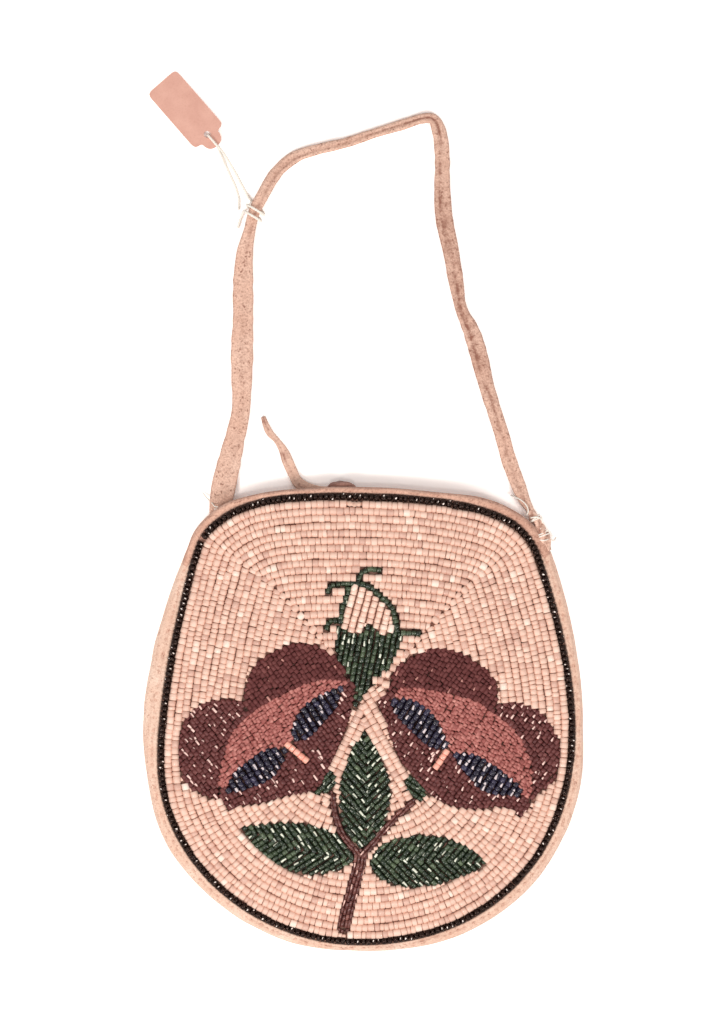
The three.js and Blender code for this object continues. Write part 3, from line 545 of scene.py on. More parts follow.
SUEDE = suede("hide", (248, 216, 195), (236, 194, 170), (184, 132, 110), 0.5, 0.16, 0.7)
# The rolled hem's hide: a darker copy of the hide, painted shade of the hem, which faces away from the light.
SHADED_ROLLED = suede("shaded_rolled_hide", (238, 192, 168), (220, 170, 147), (150, 98, 80), 0.55, 0.16, 0.75)
STRAP = suede("strap_hide", (250, 210, 188), (236, 190, 167), (150, 100, 82), 0.6, 0.2, 0.85)
THONG_HIDE = suede("thong_hide", (248, 210, 188), (232, 190, 168), (160, 112, 96), 0.4)
# The knot's hide: a darker copy of the thong's, painted shade of the knot where it lies behind the rolled
# hem.
SHADED_KNOT = suede("shaded_knot_hide", (196, 146, 130), (160, 112, 98), (92, 54, 46))
# The hide under the beads: a darker copy of the hide, painted shade in the gaps between beads. Its dark
# colour is painted shade under dark beads.
SHADED_UNDERLAY = suede("shaded_beaded_hide", (214, 164, 144), (198, 148, 130), (50, 26, 22), 0.1)
HIDE_THREAD = suede("hide_thread", (244, 206, 184), (226, 178, 156), (180, 126, 108))

# A stop of a bead's colours is a tone from 0 to 1 and the colour there. A glint, gleam and sparkle are
# painted highlights.
GROUND = glass_beads(
    "ground_beads",
    [(0, 206, 160, 142), (0.3, 224, 180, 160), (0.75, 236, 196, 176), (0.9, 244, 210, 192)]
    + [(1, 250, 226, 210)],
    rim=(244, 210, 192), roughness=(0.4, 0.6), coat=0.08, streak=0.35,
)
BLACK = glass_beads(
    "black_beads", [(0, 16, 6, 4), (0.8, 26, 12, 8), (1, 54, 30, 24)], rim=(12, 5, 4), roughness=(0.1, 0.2),
    glint=(255, 240, 230), sparkle=0.15, specular=0.25, tint=(255, 214, 200),
)
MAROON = glass_beads(
    "maroon_beads", [(0, 78, 34, 33), (0.6, 102, 54, 52), (1, 128, 76, 72)], rim=(84, 38, 37),
    roughness=(0.35, 0.6), streak=0.6, gleam=0.35, glint=(244, 206, 194), sparkle=0.15, specular=0.25,
)
MATT_MAROON = glass_beads(
    "matt_maroon_beads", [(0, 78, 34, 34), (0.7, 108, 58, 56), (1, 134, 80, 76)], rim=(84, 38, 37),
    roughness=(0.5, 0.75), streak=0.7, gleam=0.2, glint=(196, 142, 130), sparkle=0.2, specular=0.2,
)
ROSE = glass_beads(
    "rose_beads", [(0, 112, 52, 48), (0.35, 162, 92, 86), (0.7, 186, 116, 108), (1, 220, 154, 142)],
    rim=(150, 84, 78), roughness=(0.5, 0.7), streak=0.9, gleam=0.35, specular=0.25,
)
NAVY = glass_beads(
    "navy_beads", [(0, 12, 8, 18), (0.6, 24, 18, 38), (1, 70, 64, 92)], rim=(52, 46, 64),
    roughness=(0.14, 0.3), streak=0.35, gleam=0.35, glint=(216, 200, 200), specular=0.35,
)
GREEN = glass_beads(
    "green_beads", [(0, 12, 18, 8), (0.6, 32, 46, 27), (1, 104, 118, 88)], rim=(30, 42, 25),
    roughness=(0.12, 0.3), streak=0.35, gleam=0.35, glint=(222, 222, 202), sparkle=0.45, specular=0.35,
)
STEM = glass_beads(
    "stem_beads", [(0, 68, 30, 27), (0.6, 96, 52, 47), (1, 150, 98, 88)], rim=(78, 36, 33),
    roughness=(0.2, 0.4), gleam=0.4, glint=(232, 188, 174), sparkle=0.2, specular=0.4,
)
PETAL = glass_beads(
    "petal_beads", [(0, 226, 178, 158), (0.6, 242, 204, 184), (1, 252, 230, 214)], rim=(246, 212, 194),
    roughness=(0.3, 0.5), coat=0.2,
)
CORAL = glass_beads(
    "coral_beads", [(0, 246, 160, 138), (1, 254, 188, 166)], rim=(232, 150, 130),
    roughness=(0.3, 0.5), coat=0.2,
)


def thread_material():
    paint = Paint("thread", Roughness=0.85, Sheen_Weight=0.2)
    ply = paint.noise(0.25, 2)
    paint.set("Base Color", paint.ramp(ply, (0.3, linear((240, 226, 210))), (0.7, linear((255, 250, 242)))))
    paint.set("Normal", paint.bump(ply, 0.08))
    return paint.material


def card_material():
    paint = Paint("card", Specular_IOR_Level=0.3)
    cloud = paint.noise(6, 4, 0.6)
    fibre = paint.noise(0.5, 3, 0.7, 0.6)
    colour = paint.ramp(cloud, (0.3, linear((216, 162, 145))), (0.7, linear((228, 176, 158))))
    colour = paint.mix(paint.between(fibre, 0, 0.35, 0.5, 0.75), colour, linear((190, 136, 118)))
    paint.set("Base Color", colour)
    paint.set("Roughness", paint.between(fibre, 0.7, 0.9))
    paint.set("Normal", paint.bump(fibre, 0.03))
    return paint.material


THREAD = thread_material()
CARD = card_material()

# Beads. A bead's outline gives distances from its end and from its axis, in radii, from the hole on.
ROUND_SHAPE = ((0.2, 0.0), (0.0, 0.4), (0.02, 0.82), (0.17, 1.0))
GLOBE_SHAPE = ((0.2, 0.0), (0.0, 0.3), (0.12, 0.72), (0.42, 0.98), (0.6, 1.03))
CUT_SHAPE = ((0.16, 0.0), (0.0, 0.4), (0.03, 0.84), (0.2, 1.0))
SEED_SHAPE = ((0.1, 0.0), (0.0, 0.6), (0.14, 1.0))
ROW_STEP = 0.1
ROW_WAVE = 60  # steps from one waver of a row to the next
LEAST_BARE = 0.45  # half the width of a bare spot that one more bead fills
OUTER_ROWS = 4  # rows of the ground's outer piece, and of its first two
MIDDLE_ROWS = 10


class Beads:
    """Beads strung in rows, collected into one piece. Their lengths are the least, usual and most."""

    def __init__(self, bead, lengths, uneven, gap=0.0, overrun=0.15):
        self.bead, self.lengths, self.uneven, self.gap, self.overrun = bead, lengths, uneven, gap, overrun
        self.rows = []

    def thread(self, path, start, end):
        """Fills the path between two distances with beads, whose lengths are made to fit."""
        low, usual, high = self.lengths
        count = max(1, round((end - start) / (usual + self.gap)))
        lengths = random.triangular(low, usual, high, count)
        lengths *= (end - start - count * self.gap) / lengths.sum()
        if lengths.min() < low * 0.5:
            return
        middles = start + np.cumsum(lengths + self.gap) - (lengths + self.gap) / 2
        along = distances(path)
        first, flat, last = (
            np.column_stack([np.interp(middles + half * lengths, along, column) for column in path.T])
            for half in (-0.5, 0, 0.5)
        )
        radius = self.bead / 2 * (1 + random.normal(0, self.uneven / 2, count))
        rise = surface(*last.T) - surface(*first.T)
        axis = unit(np.column_stack([last - first, rise]) + random.normal(0, self.uneven, (count, 3)))
        centre = np.column_stack([flat, surface(*flat.T) + self.bead / 2])
        centre += random.normal(0, self.uneven * 0.6, (count, 3))
        tone = random.beta(2.6, 2.6, count)
        self.rows.append(np.column_stack([centre, axis, lengths, radius, tone]))

    def fill(self, path, fits):
        """Fills the stretches of a path, given at an even spacing, where the beads fit."""
        step = np.linalg.norm(path[1] - path[0])
        edges = np.flatnonzero(np.diff(np.r_[False, fits, False].astype(int)))
        for first, last in edges.reshape(-1, 2):
            start, end = first * step - self.overrun, (last - 1) * step + self.overrun
            if end - start > self.lengths[0] * 0.8:
                self.thread(path, start, end)

    def build(self, name, material, shape, sides, tones=None, **more):
        """A piece of all the beads: rings of points from one hole to the other, with fans there."""
        rows = np.vstack(self.rows)
        count = len(rows)
        centre, axis, length, radius = rows[:, :3], rows[:, 3:6], rows[:, 6], rows[:, 7]
        tone = tones(rows) if tones else rows[:, 8]
        side = unit(np.cross(np.broadcast_to(UP, axis.shape), axis))
        over = np.cross(axis, side)
        turn = random.uniform(0, 2 * math.pi, count)
        spin = (turns(sides) + turn[:, None])[..., None]
        spokes = np.cos(spin) * side[:, None] + np.sin(spin) * over[:, None]
        # The face attribute marks, on each bead, the spoke nearest to straight up, where the bead's painted
        # highlight and painted glint go: over one end, and a random part of the other.
        top = np.round((math.pi / 2 + random.normal(0, 0.5, count) - turn) * sides / (2 * math.pi)) % sides
        bright = np.arange(sides) == top[:, None]
        points, rims, lit = [], [], []
        for (inset, reach), end in [(stop, -1) for stop in shape] + [(stop, 1) for stop in shape[::-1]]:
            middle = (centre + axis * (end * (length / 2 - inset * radius))[:, None])[:, None]
            if reach == 0:
                points.append(middle)
                rims.append(np.ones((count, 1)))
                lit.append(np.zeros((count, 1)))
                continue
            points.append(middle + spokes * (radius * reach)[:, None, None])
            rims.append(np.full((count, sides), 1 - reach * min(1.0, 0.4 + 2.4 * inset)))
            far = random.uniform(0, 1, (count, 1)) * (reach == 1)
            lit.append(bright * (far if end > 0 else float(reach >= 1)))
        stacked = np.concatenate(points, 1)
        each = stacked.shape[1]
        shift = (np.arange(count) * each)[:, None, None]
        rings = 2 * len(shape) - 2
        around = np.arange(sides)
        beside = (around + 1) % sides
        last = each - 1 - sides
        fans = np.vstack([
            np.column_stack([around * 0, 1 + around, 1 + beside]),
            np.column_stack([around * 0 + each - 1, last + beside, last + around]),
        ])
        faces = [
            (1 + tube_faces(rings, sides)[None, :, ::-1] + shift).reshape(-1, 4),
            (fans[None, :, ::-1] + shift).reshape(-1, 3),
        ]
        return piece(
            name, stacked.reshape(-1, 3), faces, material, **more,
            tone=np.repeat(tone, each), rim=np.concatenate(rims, 1), face=np.concatenate(lit, 1),
        )


def straight_rows(beads, field, degrees, pitch, keep=None, wobble=0.06):
    """Fills a field with parallel rows that run at an angle, where the points are to be kept."""
    spots = spots_of(field)
    along = np.array([math.cos(math.radians(degrees)), math.sin(math.radians(degrees))])
    across = np.array([-along[1], along[0]])
    reach, rows = spots @ along, spots @ across
    steps = np.arange(reach.min() - 1, reach.max() + 1, ROW_STEP)
    count = max(1, round((rows.max() - rows.min()) / pitch))
    pitch = (rows.max() - rows.min()) / count
    for row in range(count):
        offset = rows.min() + (row + 0.5) * pitch + wander(len(steps), wobble, ROW_WAVE)
        path = steps[:, None] * along + offset[:, None] * across
        fits = fits_in(field, path, pitch)
        beads.fill(path, fits & keep(path) if keep else fits)


def fits_in(field, path, width):
    """Where a row of that width lies in a field, by its middle and both its sides."""
    across = leftwards(path) * width * 0.2
    return within(field, path) & within(field, path + across) & within(field, path - across)


def herringbone(beads, field, midrib, left_degrees, right_degrees, pitch):
    """Rows that meet at a midrib, each half at its own angle."""
    line = smooth_curve(midrib, 0.5)

    def left(points):
        nearest = np.argmin(((points[:, None] - line[None, :-1]) ** 2).sum(-1), 1)
        along = line[nearest + 1] - line[nearest]
        apart = points - line[nearest]
        return along[:, 0] * apart[:, 1] - along[:, 1] * apart[:, 0] > 0

    straight_rows(beads, field, left_degrees, pitch, left)
    straight_rows(beads, field, right_degrees, pitch, lambda points: ~left(points))


def strung(beads, route, aside=0.0):
    """One row along a route, or to its left by a distance."""
    path = smooth_curve(route, ROW_STEP)
    path = path + leftwards(path) * aside
    beads.thread(path, 0.0, (len(path) - 1) * ROW_STEP)


def between_flowers(points):
    """The narrow ground beside the middle leaf, which is filled in rows along the leaf's sides."""
    return (np.abs(points[:, 0]) < 17) & (points[:, 1] < 10) & (points[:, 1] > -24)


def ground_rows():
    """Rows one inside another, each at an even distance from the border, in three pieces."""
    wholes = [Beads(GROUND_BEAD, (1.1, 1.7, 2.6), 0.065, gap=0.02, overrun=0.25) for _ in range(3)]
    row = 1
    while True:
        distance = row * GROUND_ROW
        inner = border - border_out * distance
        gaps = ((inner[:, None] - border[None, ::3]) ** 2).sum(-1).min(1)
        inner = inner[gaps > (distance - 0.06) ** 2]
        if len(inner) < 20:
            break
        path = evenly(np.vstack([inner, inner[:1]]), ROW_STEP)
        path = path + leftwards(path) * wander(len(path), 0.1, ROW_WAVE)[:, None]
        fits = fits_in("ground_beads", path, GROUND_BEAD) & ~between_flowers(path)
        wholes[0 if row <= OUTER_ROWS else 1 if row <= MIDDLE_ROWS else 2].fill(path, fits)
        row += 1
    for degrees, half in ((64, -1), (-60, 1)):
        def beside_leaf(points, half=half):
            return between_flowers(points) & ((points[:, 0] + 1) * half > 0)

        straight_rows(wholes[2], "ground_beads", degrees, GROUND_ROW, beside_leaf)
    fill_bare("ground_beads", wholes, GROUND_BEAD)
    return wholes


def fill_bare(field, wholes, width):
    """Sets single beads where the rows leave a field bare, the largest first."""
    laid = np.vstack([row for whole in wholes for row in whole.rows])
    free = field_map == FIELDS.index(field)
    reach = int(2.4 / MAP_STEP)
    offsets = np.stack(np.meshgrid(*[np.arange(-reach, reach + 1)] * 2, indexing="ij"), -1).reshape(-1, 2)
    for bead in laid:
        cells = np.round((bead[:2] - MAP_LOW) / MAP_STEP).astype(int) + offsets
        apart = cells * MAP_STEP + MAP_LOW - bead[:2]
        along = np.abs(apart @ bead[3:5])
        across = np.abs(apart @ np.array([-bead[4], bead[3]]))
        under = (along < bead[6] / 2 + 0.05) & (across < bead[7])
        free[tuple(np.clip(cells[under], 0, np.array(MAP_SIZE) - 1).T)] = False
    cells = np.argwhere(free)
    near = np.array([((cell * MAP_STEP + MAP_LOW - border[::4]) ** 2).sum(1).min() for cell in cells])
    keep = near > (BLACK_BEAD / 2 + 0.1) ** 2
    free[tuple(cells[~keep].T)] = False
    spots = cells[keep] * MAP_STEP + MAP_LOW
    if not len(spots):
        return
    ring = np.zeros_like(free)
    for shift in ((1, 0), (-1, 0), (0, 1), (0, -1)):
        ring |= np.roll(free, shift, (0, 1))
    walls = np.argwhere(ring & ~free) * MAP_STEP + MAP_LOW
    room = np.concatenate([
        ((some[:, None] - walls[None]) ** 2).sum(-1).min(1) ** 0.5 for some in np.array_split(spots, 20)
    ])
    while room.max() > LEAST_BARE:
        best = np.argmax(room)
        size = min(room[best] * 1.2, width / 2)
        nearest = laid[np.argmin(((laid[:, :2] - spots[best]) ** 2).sum(1))]
        centre = (*spots[best], surface(*spots[best]) + size)
        length = size * 2 * random.uniform(0.85, 1.05)
        wholes[-1].rows.append(np.array([[*centre, *nearest[3:6], length, size, random.beta(2.6, 2.6)]]))
        room = np.minimum(room, np.hypot(*(spots - spots[best]).T) - size)


def glinting(share):
    """Tones of cut beads, of which that share gets a painted glint."""
    def tones(rows):
        return np.where(random.uniform(0, 1, len(rows)) < share, 1.0, rows[:, 8] * 0.92)
    return tones


def ground_tones(rows):
    """Most beads are alike, a few are much whiter and a few are darker."""
    tone = 0.3 + 0.4 * rows[:, 8]
    pick = random.uniform(0, 1, len(rows))
    tone = np.where(pick > 0.96, 0.9 + random.uniform(0, 0.1, len(rows)), tone)
    tone = np.where((pick > 0.86) & (pick <= 0.96), random.uniform(0.75, 0.88, len(rows)), tone)
    return np.where(pick < 0.14, random.uniform(0.0, 0.2, len(rows)), tone)


def finish_field(field, beads, paint, shape, slot, bare=None, sides=8, **more):
    """Fills what the rows leave bare of a field, and makes its beads' piece."""
    if bare:
        fill_bare(field, [beads], bare)
    beads.build(field + "_beads", paint, shape, sides, slot=slot, replaces=[field], **more)


# A lobe's rows have an angle on the left flower, and a share of its beads gets a painted glint
LOBES = (("upper_lobe", -54, 0.035), ("side_lobe", -50, 0.19), ("lower_petal", -54, 0.19))
BAND_ANGLE = -58
PETAL_ANGLE = 75
CORAL_BARS = {"left": [(-24.1, -6.5), (-17.5, -12.1)], "right": [(24.3, -8.5), (20.3, -14.3)]}
# A leaf's midrib, and the angles of the rows to its left and right
LEAVES = (
    ("leaf_centre", [(-0.9, -39), (0, -30), (0.4, -18), (-0.7, -2)], -50, 46),
    ("leaf_left", [(-38, -31.2), (-26, -36.6), (-14, -39.6), (-3.5, -41.4)], -54, 34),
    ("leaf_right", [(0.6, -41.5), (12, -41.4), (24, -41.8), (36, -42.6)], 50, -46),
)
SEPALS = (("bud_calyx", 79), ("sepal_left", 46), ("sepal_right", -38))
OUTLINES = {
    "bud_outline_left": [*BUD_LEFT, (-7.8, 29)],
    "bud_outline_right": [(-4.8, 41.2), (-2.3, 41), *BUD_RIGHT, (9.3, 26.4)],
    "bud_tendril_top": [(-2.6, 42), (-1.6, 44), (1, 45.3), (4.5, 45)],
    "bud_tendril_left": [(-5, 41.1), (-8.2, 40.9), (-10.7, 40.3), (-11.8, 38)],
    "bud_tendril_low": [(-8.8, 30.1), (-11, 29.5), (-12.2, 27.2)],
    "bud_tendril_right": [(10.2, 26.1), (13, 26.3), (16.3, 26)],
}
CUT_LENGTHS = (1.3, 1.8, 2.6)
NAVY_GLINTS = 0.28
GREEN_GLINTS = 0.19


def ground():
    for name, whole in zip(("outer", "middle", "inner"), ground_rows()):
        whole.build(f"ground_beads_{name}", GROUND, ROUND_SHAPE, 12, ground_tones,
                    slot="ground_beads", replaces=["ground_beads"])


def flower(side, turn):
    """A flower's fields. Its turn is 1 on the left and -1 on the right, whose rows lean the other way."""
    name = f"{side}_flower_"
    for lobe, degrees, share in LOBES:
        beads = Beads(SEED_BEAD, (0.9, 1.5, 2.6), 0.15)
        straight_rows(beads, name + lobe, turn * degrees, SEED_ROW)
        paint = MATT_MAROON if lobe == "upper_lobe" else MAROON
        finish_field(name + lobe, beads, paint, SEED_SHAPE, "maroon_beads", SEED_ROW, tones=glinting(share))
    beads = Beads(ROSE_BEAD, (0.7, 1.1, 2.0), 0.2, overrun=0.3)
    straight_rows(beads, name + "rose_band", turn * BAND_ANGLE, ROSE_ROW, wobble=0.2)
    finish_field(name + "rose_band", beads, ROSE, SEED_SHAPE, "rose_beads", SEED_ROW)
    for leaf in ("blue_upper", "blue_lower"):
        beads = Beads(NAVY_BEAD, (1.1, 1.6, 2.4), 0.1, overrun=0.35)
        straight_rows(beads, name + leaf, turn * BAND_ANGLE, NAVY_ROW)
        glints = glinting(NAVY_GLINTS)
        finish_field(name + leaf, beads, NAVY, CUT_SHAPE, "navy_beads", NAVY_BARE, tones=glints)


def greenery():
    """The leaves, sepals and calyx in rows of cut beads, and the bud's outlines in strings of them."""
    for name, midrib, left, right in LEAVES:
        beads = Beads(GREEN_BEAD, CUT_LENGTHS, 0.1, overrun=0.25)
        herringbone(beads, name, midrib, left, right, CUT_ROW)
        finish_field(name, beads, GREEN, CUT_SHAPE, "green_beads", CUT_ROW, tones=glinting(GREEN_GLINTS))
    for name, degrees in SEPALS:
        beads = Beads(GREEN_BEAD, CUT_LENGTHS, 0.1, overrun=0.25)
        straight_rows(beads, name, degrees, CUT_ROW)
        finish_field(name, beads, GREEN, CUT_SHAPE, "green_beads", CUT_ROW, tones=glinting(GREEN_GLINTS))
    for name, route in OUTLINES.items():
        beads = Beads(OUTLINE_BEAD, (1.1, 1.4, 1.9), 0.1)
        strung(beads, route)
        finish_field(name, beads, GREEN, CUT_SHAPE, "green_beads", tones=glinting(0.06))


def beadwork():
    ground()
    flower("left", 1)
    flower("right", -1)
    for side, route in CORAL_BARS.items():
        beads = Beads(CORAL_BEAD, (1.4, 1.6, 1.8), 0.04, gap=0.03)
        strung(beads, route)
        finish_field(f"{side}_flower_coral_bar", beads, CORAL, ROUND_SHAPE, "coral_beads", sides=12)
    greenery()
    beads = Beads(PETAL_BEAD, (1.2, 1.7, 2.4), 0.08, overrun=0.4)
    straight_rows(beads, "bud_petals", PETAL_ANGLE, GROUND_ROW)
    finish_field("bud_petals", beads, PETAL, ROUND_SHAPE, "petal_beads", GROUND_ROW, sides=12)
    for name, (route, apart) in STEMS.items():
        beads = Beads(STEM_BEAD, (1.4, 2.2, 3.4), 0.08)
        for aside in apart:
            strung(beads, route, aside)
        finish_field(name, beads, STEM, SEED_SHAPE, "stem_beads", STEM_BEAD, tones=glinting(0.1))


# Places along the border where a bead is missing and the thread shows, and half such a gap
BORDER_GAPS = np.array([(-61.9, -3.9), (24.5, -62.4), (50.9, -42.9), (-48.8, 54.9)])
BORDER_GAP = 0.6


def border_row():
    beads = Beads(BLACK_BEAD, (1.25, 1.62, 2.0), 0.07)
    start = np.argmin(np.hypot(*(border - BORDER_GAPS[0]).T))
    loop = np.roll(border, -start, 0)
    path = np.vstack([loop, loop[:1]])
    path = path + leftwards(path) * wander(len(path), 0.08, ROW_WAVE)[:, None]
    clear = np.min(np.hypot(*(path[:, None] - BORDER_GAPS[None]).transpose(2, 0, 1)), 1) > BORDER_GAP
    beads.fill(path, clear)
    beads.build("border_row_beads", BLACK, GLOBE_SHAPE, 12, glinting(0.4),
                slot="black_beads", replaces=["border_beads"])


# Hide margin: the binding folded over the sewn edge, and the rolled hem of the mouth

MOUTH_LEFT = 137  # bearings of the mouth's ends, in degrees
SEAM_RIGHT = 42
EDGE_STEP = 2
ROW_SIDE = 0.95  # from the black row's middle to the hide beside it
SEAM_LEVEL = 2.5
PROBE_AWAY = 14
PROBE_HEIGHTS = (0.6, 2.2, 3.2, 4.5, 6, 7.5)
STITCH_PITCH = 2.7
STITCH_DEPTH = 0.3
STITCH_HALF = 0.62
ROLL_RADIUS = 1.2
ROLL_SIDES = 22
FINE_THREAD = 0.17
# Binding: its top and its edge's height, the shares of its width that have points, the share from
# which it falls away, and the points below it, inwards from its edge and up
BINDING_TOP = 3.35
BINDING_LOW = 1.2
BINDING_SHARES = np.array([0, 0.06, 0.14, 0.22, 0.3, 0.38, 0.46, 0.54, 0.64, 0.74, 0.83, 0.91, 0.97, 1.0])
BINDING_FLAT = 0.42
BINDING_UNDER = np.array([[0.06, 0.6], [0.18, 0.16], [0.5, 0.0], [1.6, 0.0]])


def outer_margins():
    """How far the pouch's outer edge stands off the black row's middle, all round."""
    tree, _ = tree_of(["edge_binding", "mouth_roll"])
    coarse = np.arange(0, len(border), 8)
    found = np.full(len(coarse), np.nan)
    for place, index in enumerate(coarse):
        start = border[index] + border_out[index] * PROBE_AWAY
        inwards = Vector((*-border_out[index], 0))
        for height in PROBE_HEIGHTS:
            distance = tree.ray_cast(Vector((*start, height)), inwards, PROBE_AWAY - ROW_SIDE)[3]
            if distance is not None:
                found[place] = np.nanmax([found[place], PROBE_AWAY - distance])
    known = ~np.isnan(found)
    found = np.interp(coarse, coarse[known], found[known], period=len(border))
    weights = bell(np.linspace(-2, 2, 9), 1)
    found = np.convolve(np.r_[found[-4:], found, found[:4]], weights / weights.sum(), "valid")
    return np.interp(np.arange(len(border)), coarse, found, period=len(border))


margins = outer_margins()
bearing = np.degrees(np.arctan2(border[:, 1], border[:, 0])) % 360
lift = np.maximum(surface(border[:, 0], border[:, 1]) - SEAM_LEVEL, 0)


def stretch(first, last):
    """The border's points from one bearing round to another, anticlockwise."""
    turn = (bearing - first) % 360
    chosen = np.flatnonzero(turn <= (last - first) % 360)
    return chosen[np.argsort(turn[chosen])][::EDGE_STEP]


def stand_off(indices, away):
    """Points outside the black row's middle, at a row of distances for each index."""
    return border[indices][:, None] + border_out[indices][:, None] * away[..., None]


def stitch_line(indices):
    """Distances along a stretch of the border where its stitches are, and outside the row."""
    length = len(indices) * EDGE_STEP * BORDER_STEP
    along = np.arange(STITCH_PITCH, length - STITCH_PITCH, STITCH_PITCH)
    along = along + random.normal(0, 0.7, len(along))
    spots = indices[np.clip((along / EDGE_STEP / BORDER_STEP).astype(int), 0, len(indices) - 1)]
    outside = ROW_SIDE + 0.34 * (margins[spots] - ROW_SIDE) + 0.25 + random.normal(0, 0.12, len(along))
    return along, spots, outside


def binding():
    """Puckered and wrinkled, with a dent at each stitch, and painted shade in each dent and wrinkle, beside
    the black row and over its right side.
    """
    indices = stretch(MOUTH_LEFT - 3.5, SEAM_RIGHT + 2)
    count = len(indices)
    along = np.arange(count) * EDGE_STEP * BORDER_STEP
    share = BINDING_SHARES
    edge = margins[indices][:, None]
    fall = np.sqrt(1 - np.clip((share - BINDING_FLAT) / (1 - BINDING_FLAT), 0, 1) ** 2)
    height = BINDING_LOW + (BINDING_TOP + lift[indices][:, None] - BINDING_LOW) * fall
    height[:, 0] -= 0.35
    wave = wander(count, 0.09, 14)[:, None] * np.clip(share * 1.4 - 0.4, 0, 1)
    away = ROW_SIDE + (edge - ROW_SIDE) * share + wave
    pucker = sum(wander(count, 0.05, 6)[:, None] * bell(share - place, 0.2) for place in (0.2, 0.5, 0.8))
    height += pucker * np.minimum(1, 4 * (1 - share))
    # Painted shade beside the black row, and over the right side, away from the light.
    soil = 0.35 * bell(away - ROW_SIDE, 0.35) + 0.12 * (border[indices, :1] > 0)
    at, spots, outside = stitch_line(indices)
    for spot_along, spot_outside in zip(at, outside):
        dent = bell(along - spot_along, 0.5)[:, None] * bell(away - spot_outside, 0.42)
        height -= STITCH_DEPTH * dent
        # Painted shade in the stitch's dent.
        soil += 0.45 * dent
    for place, wave in ((0.36, 17), (0.66, 23)):
        line = place + wander(count, 0.07, wave)[:, None]
        wrinkle = bell(share - line, 0.07) * np.clip(0.5 + wander(count, 0.5, 11), 0, 1)[:, None]
        height -= 0.12 * wrinkle
        # Painted shade in the wrinkle.
        soil += 0.35 * wrinkle
    low = np.r_[BINDING_UNDER[:, 1], BINDING_LOW]
    away = np.hstack([away, edge - BINDING_UNDER[:, 0], np.full((count, 1), ROW_SIDE)])
    height = np.hstack([height, np.broadcast_to(low, (count, len(low)))])
    soil = np.pad(soil, ((0, 0), (0, len(low))))
    loft("binding", [np.dstack([stand_off(indices, away), height])], SUEDE,
         slot="hide", replaces=["edge_binding"], soil=soil)
    stitches(spots, outside)


def stitches(spots, outside):
    """The binding's short whip stitches, drawn down into the hide at both ends."""
    routes = []
    for spot, away in zip(spots, outside):
        middle = border[spot] + border_out[spot] * away
        slant = border_along[spot] * STITCH_HALF + border_out[spot] * random.uniform(-0.3, 0.3)
        top = BINDING_TOP + lift[spot] - STITCH_DEPTH
        routes.append([
            (*(middle + slant * share), top + rise)
            for share, rise in ((-1, -0.16), (-0.45, 0.14), (0.45, 0.14), (1, -0.16))
        ])
    threads("binding_stitches", routes, FINE_THREAD, 5, HIDE_THREAD, slot="hide")


def mouth_roll():
    """The rolled hem: a creased tube along the mouth, thinner at its ends, darkest at the right."""
    indices = stretch(SEAM_RIGHT + 0.5, MOUTH_LEFT + 3)
    count = len(indices)
    along = np.arange(count) * EDGE_STEP * BORDER_STEP
    ends = np.clip(np.minimum(along / 3.0, (along[-1] - along) / 5.0), 0, 1)
    ends = np.sqrt(1 - (1 - ends) ** 2)
    half = (margins[indices] - ROW_SIDE) / 2 * (0.25 + 0.75 * ends)
    centre = ROW_SIDE + half + wander(count, 0.06, 16)
    radius = ROLL_RADIUS * (0.35 + 0.65 * ends) * (1 + wander(count, 0.035, 9))
    level = SEAM_LEVEL + 0.15 + lift[indices] - 0.9 * (1 - ends)
    angle = turns(ROLL_SIDES)
    lean = wander(count, 0.12, 20)[:, None]
    away = centre[:, None] + np.cos(angle) * half[:, None]
    crease = bell(np.sin(angle) - 0.55, 0.22) * (np.cos(angle) > 0)
    height = level[:, None] + np.sin(angle + lean) * radius[:, None]
    height = height - 0.13 * crease * (1 + wander(count, 0.4, 18))[:, None]
    # Painted shade on the hem's inner side, beside the black row, and in its crease, over soil that wanders
    # along it. It is darker towards its right end.
    soil = 0.12 + 0.3 * bell(np.cos(angle) + 0.95, 0.25) + 0.35 * crease
    soil = soil + wander(count, 0.07, 12)[:, None] + 0.35 * np.clip(1 - along / 30, 0, 1)[:, None]
    loft("rolled_hem", [np.dstack([stand_off(indices, away), height])], SHADED_ROLLED,
         slot="hide", replaces=["mouth_roll"], soil=soil)


# Panels: how far they end inside the pouch's edge, and the soil of their edge and their underside
FRONT_INSET = 1.5
BACK_INSET = 1.15
MOUTH_REACH = 0.9  # of the front past the black row, along the mouth
EDGE_SOIL = 0.2
UNDER_SOIL = 0.05
BACK_WAVE = 0.18


def panel(name, outline, top, bottom, material, top_soil_and_shade, rings):
    """A sheet of hide with a rounded edge, from rings of points shrinking to its middle."""
    shares = np.linspace(1, 0.03, rings)
    highs = [np.column_stack([outline * share, top(outline * share)]) for share in shares[::-1]]
    lows = [np.column_stack([outline * share, bottom(outline * share)]) for share in shares]
    edge = (highs[-1] + lows[0]) / 2
    edge[:, :2] = outline * (1 + 0.4 / 62)
    # The upper side's soil and painted shade, then the soil of the edge and the underside.
    soil = [top_soil_and_shade(row[:, :2]) for row in highs]
    soil += [np.full(len(edge), EDGE_SOIL)] + [np.full(len(edge), UNDER_SOIL)] * rings
    loft(name, [np.array(highs + [edge] + lows)], material,
         slot="hide", replaces=[f"{name}_panel"], soil=np.concatenate(soil))


def dark_below(points):
    """The hide is painted darker where it lies under dark beads: painted shade in the gaps between them."""
    gap_shade = np.zeros(len(points))
    for field in FIELDS:
        share = 0.75 if field.endswith(("lobe", "petal")) else 0.45 if field.endswith("band") else 0.97
        if field not in ("ground_beads", "bud_petals", "tie_stitch"):
            gap_shade[within(field, points)] = share
    return gap_shade


